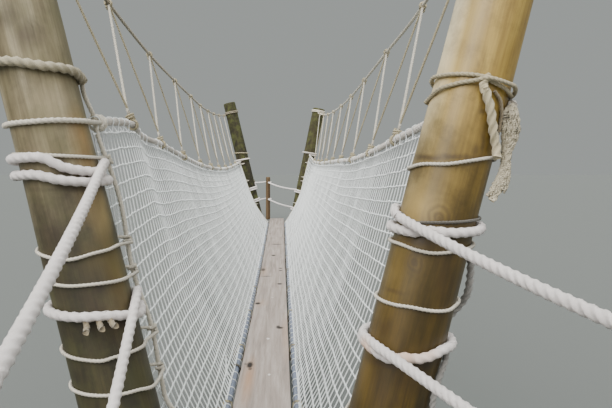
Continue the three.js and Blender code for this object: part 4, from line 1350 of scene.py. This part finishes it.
CROSSING_CORD = 0.014
CROSSING_TURNS = [
    [(-191, 1.265), (-173, 1.274), (-135, 1.273), (-100, 1.265), (-81, 1.249), (-34, 1.216), (40, 1.225)],
    [(-192, 1.205), (-154, 1.232), (-128, 1.244), (-102, 1.251, 0.006), (-87, 1.256, 0.012),
     (-40, 1.235, 0.012), (40, 1.200)],
]
crossing = [full_turn(near_right, turn, CROSSING_CORD / 2) for turn in CROSSING_TURNS]
cord_piece("near_right_tail_turns", crossing, CROSSING_CORD, tan_rope, steps_per_lay=9)
DARK_CORD = 0.010
DARK_TURN = [(-192, 0.874), (-165, 0.867), (-142, 0.857), (-60, 0.862)]
knot_at = on_post(near_right, 0.868, -166, 0.010)
dark = [
    full_turn(near_right, DARK_TURN, DARK_CORD / 2),
    wrap(knot_at, Vector((0.3, 1, 0.2)), radius=0.011, turns=2.2, pitch=DARK_CORD),
    wrap(knot_at, Vector((1, 0.2, 0.6)), radius=0.011, turns=1.5, pitch=DARK_CORD),
]
cord_piece("near_right_dark_knot", dark, DARK_CORD, dark_cord, per_strand=3)
TAIL_HEAD_ROPE = 0.0285
tail_head = Vector(TAIL_ROUTES["near_right_hand_tail"][0])
head = [on_post(near_right, 1.262, -84, 0.006), tail_head + Vector((-0.004, 0.004, 0.012)),
        tail_head + Vector((0.003, 0, -0.010))]
cord_piece("near_right_tail_head", [head], TAIL_HEAD_ROPE, tan_rope, per_strand=5, lay_ratio=TAIL_LAY,
           groove=TAIL_GROOVE)

# Beside the deck: a dark tie with a loose end on the left foot rope, and the right net's selvedge

LOOSE_CORD = 0.0085
tie_at = foot_point(-1, 1.42)
TIE_END = [(-0.018, 0.004, 0.012), (-0.038, 0.000, 0.022), (-0.060, -0.012, 0.014)]
LOOSE_END = [(-0.060, 0.05, 0.055), (-0.052, -0.02, 0.03), (-0.046, -0.09, 0.026), (-0.030, -0.15, 0.022)]
# Place along the walk, and how far from the right foot rope's middle, across and up
SELVEDGE = [(0.66, 0.034, 0.040), (0.74, 0.016, 0.018), (0.90, 0.013, 0.016), (1.10, 0.013, 0.016),
            (1.26, 0.016, 0.018), (1.36, 0.034, 0.040)]
foot_tie = [
    wrap(tie_at, Vector((0, 1, 0)), radius=FOOT_ROPE / 2 + DARK_CORD / 2, turns=2.3, pitch=DARK_CORD),
    [tie_at + Vector(step) for step in TIE_END],
]
cord_piece("left_foot_rope_dark_tie", foot_tie, DARK_CORD, dark_cord, per_strand=3)
loose_cords = [[tie_at + Vector(step) for step in LOOSE_END],
               [foot_point(1, y) + Vector((across, 0, rise)) for y, across, rise in SELVEDGE]]
cord_piece("foot_rope_loose_cords", loose_cords, LOOSE_CORD, net_cord, "net_cord", per_strand=3)


# Rail posts: name, place, height

RAIL_POST_RADIUS = 0.048
STAKE_TOP_RINGS = (0.006, 0.012, 0.012)
STAKE_TAPER = 0.001
STAKE_WOBBLE = 0.001
RAIL_POSTS = {
    "near_left": [("near_left_rail_post", (-0.060, -2.500), 1.050)],
    "near_right": [("near_right_rail_post", (1.100, -2.300), 1.050)],
    "far_left": [("far_left_rail_post", (-0.500, 10.400), 0.900)],
    "far_right": [("far_right_rail_post", (-0.210, 11.450), 0.931),
                  ("far_right_rail_post_outer", (-0.690, 12.200), 0.931)],
}


def build_stake(name, foot, height, seed):
    marks = [(seed * 90 % 360 - 180, height * 0.55, 0.010, 0.5),
             (seed * 50 % 360 - 180, height * 0.8, 0.008, 0.5)]
    bm = pole(height, RAIL_POST_RADIUS, RAIL_POST_RADIUS - STAKE_TAPER, STAKE_WOBBLE, marks, seed,
              STAKE_TOP_RINGS, sides=28, rings=40, chamfer=0.004)
    bm.transform(Matrix.Translation((*foot, 0)))
    add_piece(f"{name}_stake", mesh_from(bm, name), stake_wood, [name])


# Rail ropes: a hitch of one or two turns on the main post, then slack stretches to the rail posts. Heights
# on the main post and on each rail post, and the sag of each stretch.

RAIL_ROPES = {
    "near_left": {"upper": ((1.215, 0.775), (0.090,)), "lower": ((0.828, 0.350), (0.130,))},
    "near_right": {"upper": ((1.064, 0.975), (0.080,)), "lower": ((0.713, 0.700), (0.020,))},
    "far_left": {"upper": ((0.795, 0.800), (0.030,)), "lower": ((0.585, 0.430), (0.030,))},
    "far_right": {"upper": ((0.745, 0.810, 0.795), (0.025, 0.015)),
                  "lower": ((0.430, 0.446, 0.380), (0.020, 0.015))},
}
RAIL_ROPE_LEAVES = 83
LOOP_RADIUS = RAIL_POST_RADIUS + GAP + RAIL_ROPE / 2
LOOP_STEP = 0.6
TURNS_APART = 1.02
FAR_HITCH_RISE = -0.031
FAR_HITCH_STEPS = range(1, 15)
# What each hitch does on its post after the standing part: degrees, height above the deck and lift
HITCHES = {
    ("near_left", "upper"): [
        (-215, 1.010), (-270, 0.990), (-360, 0.985), (-438, 0.991), (-466, 0.977), (-499, 0.970),
        (-556, 0.972), (-630, 0.990), (-720, 1.030), (-800, 1.040), (-815, 1.035), (-833, 1.013),
        (-854, 1.002), (-875, 0.998), (-893, 1.000),
    ],
    ("near_left", "lower"): [
        (-215, 0.630), (-270, 0.615), (-360, 0.605), (-446, 0.602), (-476, 0.602), (-515, 0.590),
        (-543, 0.585), (-560, 0.600),
    ],
    ("near_right", "upper"): [
        (-195, 0.888), (-240, 0.875), (-300, 0.852), (-348, 0.842), (-400, 0.832), (-444, 0.832),
        (-467, 0.837), (-482, 0.833), (-494, 0.831), (-530, 0.836), (-551, 0.839), (-600, 0.830),
        (-660, 0.805), (-700, 0.790),
    ],
    ("near_right", "lower"): [
        (-200, 0.520), (-270, 0.515), (-345, 0.508), (-386, 0.503), (-411, 0.504), (-430, 0.493),
        (-447, 0.488), (-462, 0.491), (-480, 0.484), (-490, 0.488), (-511, 0.501), (-547, 0.508),
        (-600, 0.500), (-660, 0.480), (-700, 0.465),
    ],
}


def loop_point(rail, z, facing):
    x, y = rail
    towards = Vector((facing.x - x, facing.y - y, 0)).normalized()
    return Vector((x, y, z)) + towards * LOOP_RADIUS


def slack(start, end, sag, count=9):
    points = []
    for k in range(count + 1):
        t = k / count
        points.append(start.lerp(end, t) - Vector((0, 0, 4 * sag * t * (1 - t))))
    return points


def loop_about(rail, z, towards_start, towards_end, turns):
    """A rope's turns round a rail post, from the side turned to one point to the side turned to another."""
    x, y = rail
    start = math.atan2(towards_start.y - y, towards_start.x - x)
    end = math.atan2(towards_end.y - y, towards_end.x - x)
    sweep = (end - start) % (2 * math.pi) + 2 * math.pi * (turns - 1)
    count = max(6, round(sweep / LOOP_STEP))
    rise = RAIL_ROPE * TURNS_APART * sweep / (2 * math.pi)
    points = []
    for k in range(count + 1):
        angle = start + sweep * k / count
        points.append(Vector((x + LOOP_RADIUS * math.cos(angle), y + LOOP_RADIUS * math.sin(angle),
                              z + rise * (k / count))))
    return points


def rail_rope(place_name, level):
    post = POSTS[place_name]
    places = [foot for _, foot, _ in RAIL_POSTS[place_name]]
    (on_main, *on_rails), sags = RAIL_ROPES[place_name][level]
    near = place_name.startswith("near")
    away = Vector((*places[0], 0)) - post_axis(post, on_main)
    towards = math.degrees(math.atan2(away.y, post["side"] * away.x))
    leaves = towards + math.copysign(RAIL_ROPE_LEAVES, away.y)
    start = around_post(post, on_main, leaves, RAIL_ROPE / 2 + GAP)
    if near:
        hitch = round_post(post, HITCHES[place_name, level], RAIL_ROPE / 2)
    else:
        hitch = climbing(post, on_main, leaves, RAIL_ROPE / 2, FAR_HITCH_RISE, FAR_HITCH_STEPS)
    route = [*reversed(hitch)]
    for i, (rail, z, sag) in enumerate(zip(places, on_rails, sags)):
        route += slack(start, loop_point(rail, z, start), sag)
        if i + 1 < len(places):
            turn = loop_about(rail, z, start, Vector((*places[i + 1], 0)), 1)
        else:
            turn = loop_about(rail, z, start, start, 2)
        route += turn[1:]
        start = turn[-1]
    shape = dict(steps_per_lay=10, per_strand=5) if near else dict(steps_per_lay=8, per_strand=4)
    cord_piece(f"{place_name}_rail_{level}_line", [route], RAIL_ROPE, rail_rope_finish, "laid_rope",
               [f"{place_name}_rail_rope_{level}"], groove=0.19, **shape)


for place_name, rails in RAIL_POSTS.items():
    for number, (name, foot, height) in enumerate(rails):
        build_stake(name, foot, height, 2.0 + number + 3 * len(place_name))
    for level in ("upper", "lower"):
        rail_rope(place_name, level)

# The hitches' loose ends down the back of the near right post, and the cut ends under the left one's hitch

UPPER_LINK_CORD = 0.025
LOWER_LINK_CORD = 0.020
CUT_END_CORD = 0.019
UPPER_LINK = [
    on_post(near_right, 0.790, 20, 0.013),
    (0.650, 0.030, 0.943),
    (0.6456, 0.035, 0.876),
    (0.639, 0.047, 0.843),
    (0.622, 0.060, 0.812),
    around_post(near_right, 0.780, 30, 0.013),
]
# Height above the deck, degrees and distance off the bark
LOWER_LINK = [(0.478, 0, 0.0105), (0.462, -26, 0.0105), (0.420, -36, 0.0105), (0.370, -40, 0.0105),
              (0.320, -36, 0.0150), (0.280, -26, 0.0250), (0.240, -10, 0.0150), (0.214, 15, 0.0105)]
links = joined([
    cord_mesh([UPPER_LINK], UPPER_LINK_CORD, per_strand=5, steps_per_lay=10, groove=0.3),
    cord_mesh([[on_post(near_right, *station) for station in LOWER_LINK]], LOWER_LINK_CORD, groove=0.3),
])
add_piece("near_right_rail_rope_links", links, grey_rope)
# Each cut end's tip, and its stations from the hitch to the tip: up, round and off the bark
CUT_ENDS = [(-95, 0.572), (-110, 0.578), (-123, 0.582)]
CUT_END_STATIONS = [(0.030, 3, 0.012), (0.010, 0, 0.018), (0, 0, 0.032), (-0.002, -1, 0.052)]
cut_ends = [[on_post(near_left, height + up, degrees + turn, out) for up, turn, out in CUT_END_STATIONS]
            for degrees, height in CUT_ENDS]
cord_piece("near_left_cut_ends", cut_ends, CUT_END_CORD, dull_cord)


# Stage

FLOOR_GREY = "#626563"
BACKDROP_GREY = "#969A98"

bm = bmesh.new()
bmesh.ops.create_grid(bm, x_segments=1, y_segments=1, size=60)
floor = in_scene("floor", mesh_from(bm, "floor"))
floor.location = (0, 0, -0.0015)
floor_finish = Finish("studio floor", roughness=0.95)
floor_finish.shader.inputs["Base Color"].default_value = linear(FLOOR_GREY)
floor.data.materials.append(floor_finish.material)

# A plain dome: even down to the floor's far edge, and several times brighter overhead
world = bpy.data.worlds.new("studio")
bpy.context.scene.world = world
sky = Nodes(world)
height = sky.add("SeparateXYZ", "Z", {"Vector": sky.add("TexCoord", "Generated")})
overhead = {"Value": height, "From Min": 0.45, "From Max": 0.9, "To Min": 1.13, "To Max": 6.0}
background = sky.tree.nodes["Background"]
background.inputs["Color"].default_value = linear(BACKDROP_GREY)
sky.tree.links.new(sky.add("MapRange", "Result", overhead), background.inputs["Strength"])

# A broad key light from the left and behind the camera, and a weaker fill from the right
for name, strength, spread, towards in (
    ("soft_key", 4.1, 50, (0.48, 0.62, -0.62)),
    ("soft_fill", 1.7, 70, (-0.50, 0.60, -0.62)),
):
    light = bpy.data.lights.new(name, "SUN")
    light.energy = strength
    light.angle = math.radians(spread)
    light.color = (1.0, 0.98, 0.95)
    lamp = in_scene(name, light)
    lamp.rotation_euler = Vector(towards).to_track_quat("-Z", "Y").to_euler()
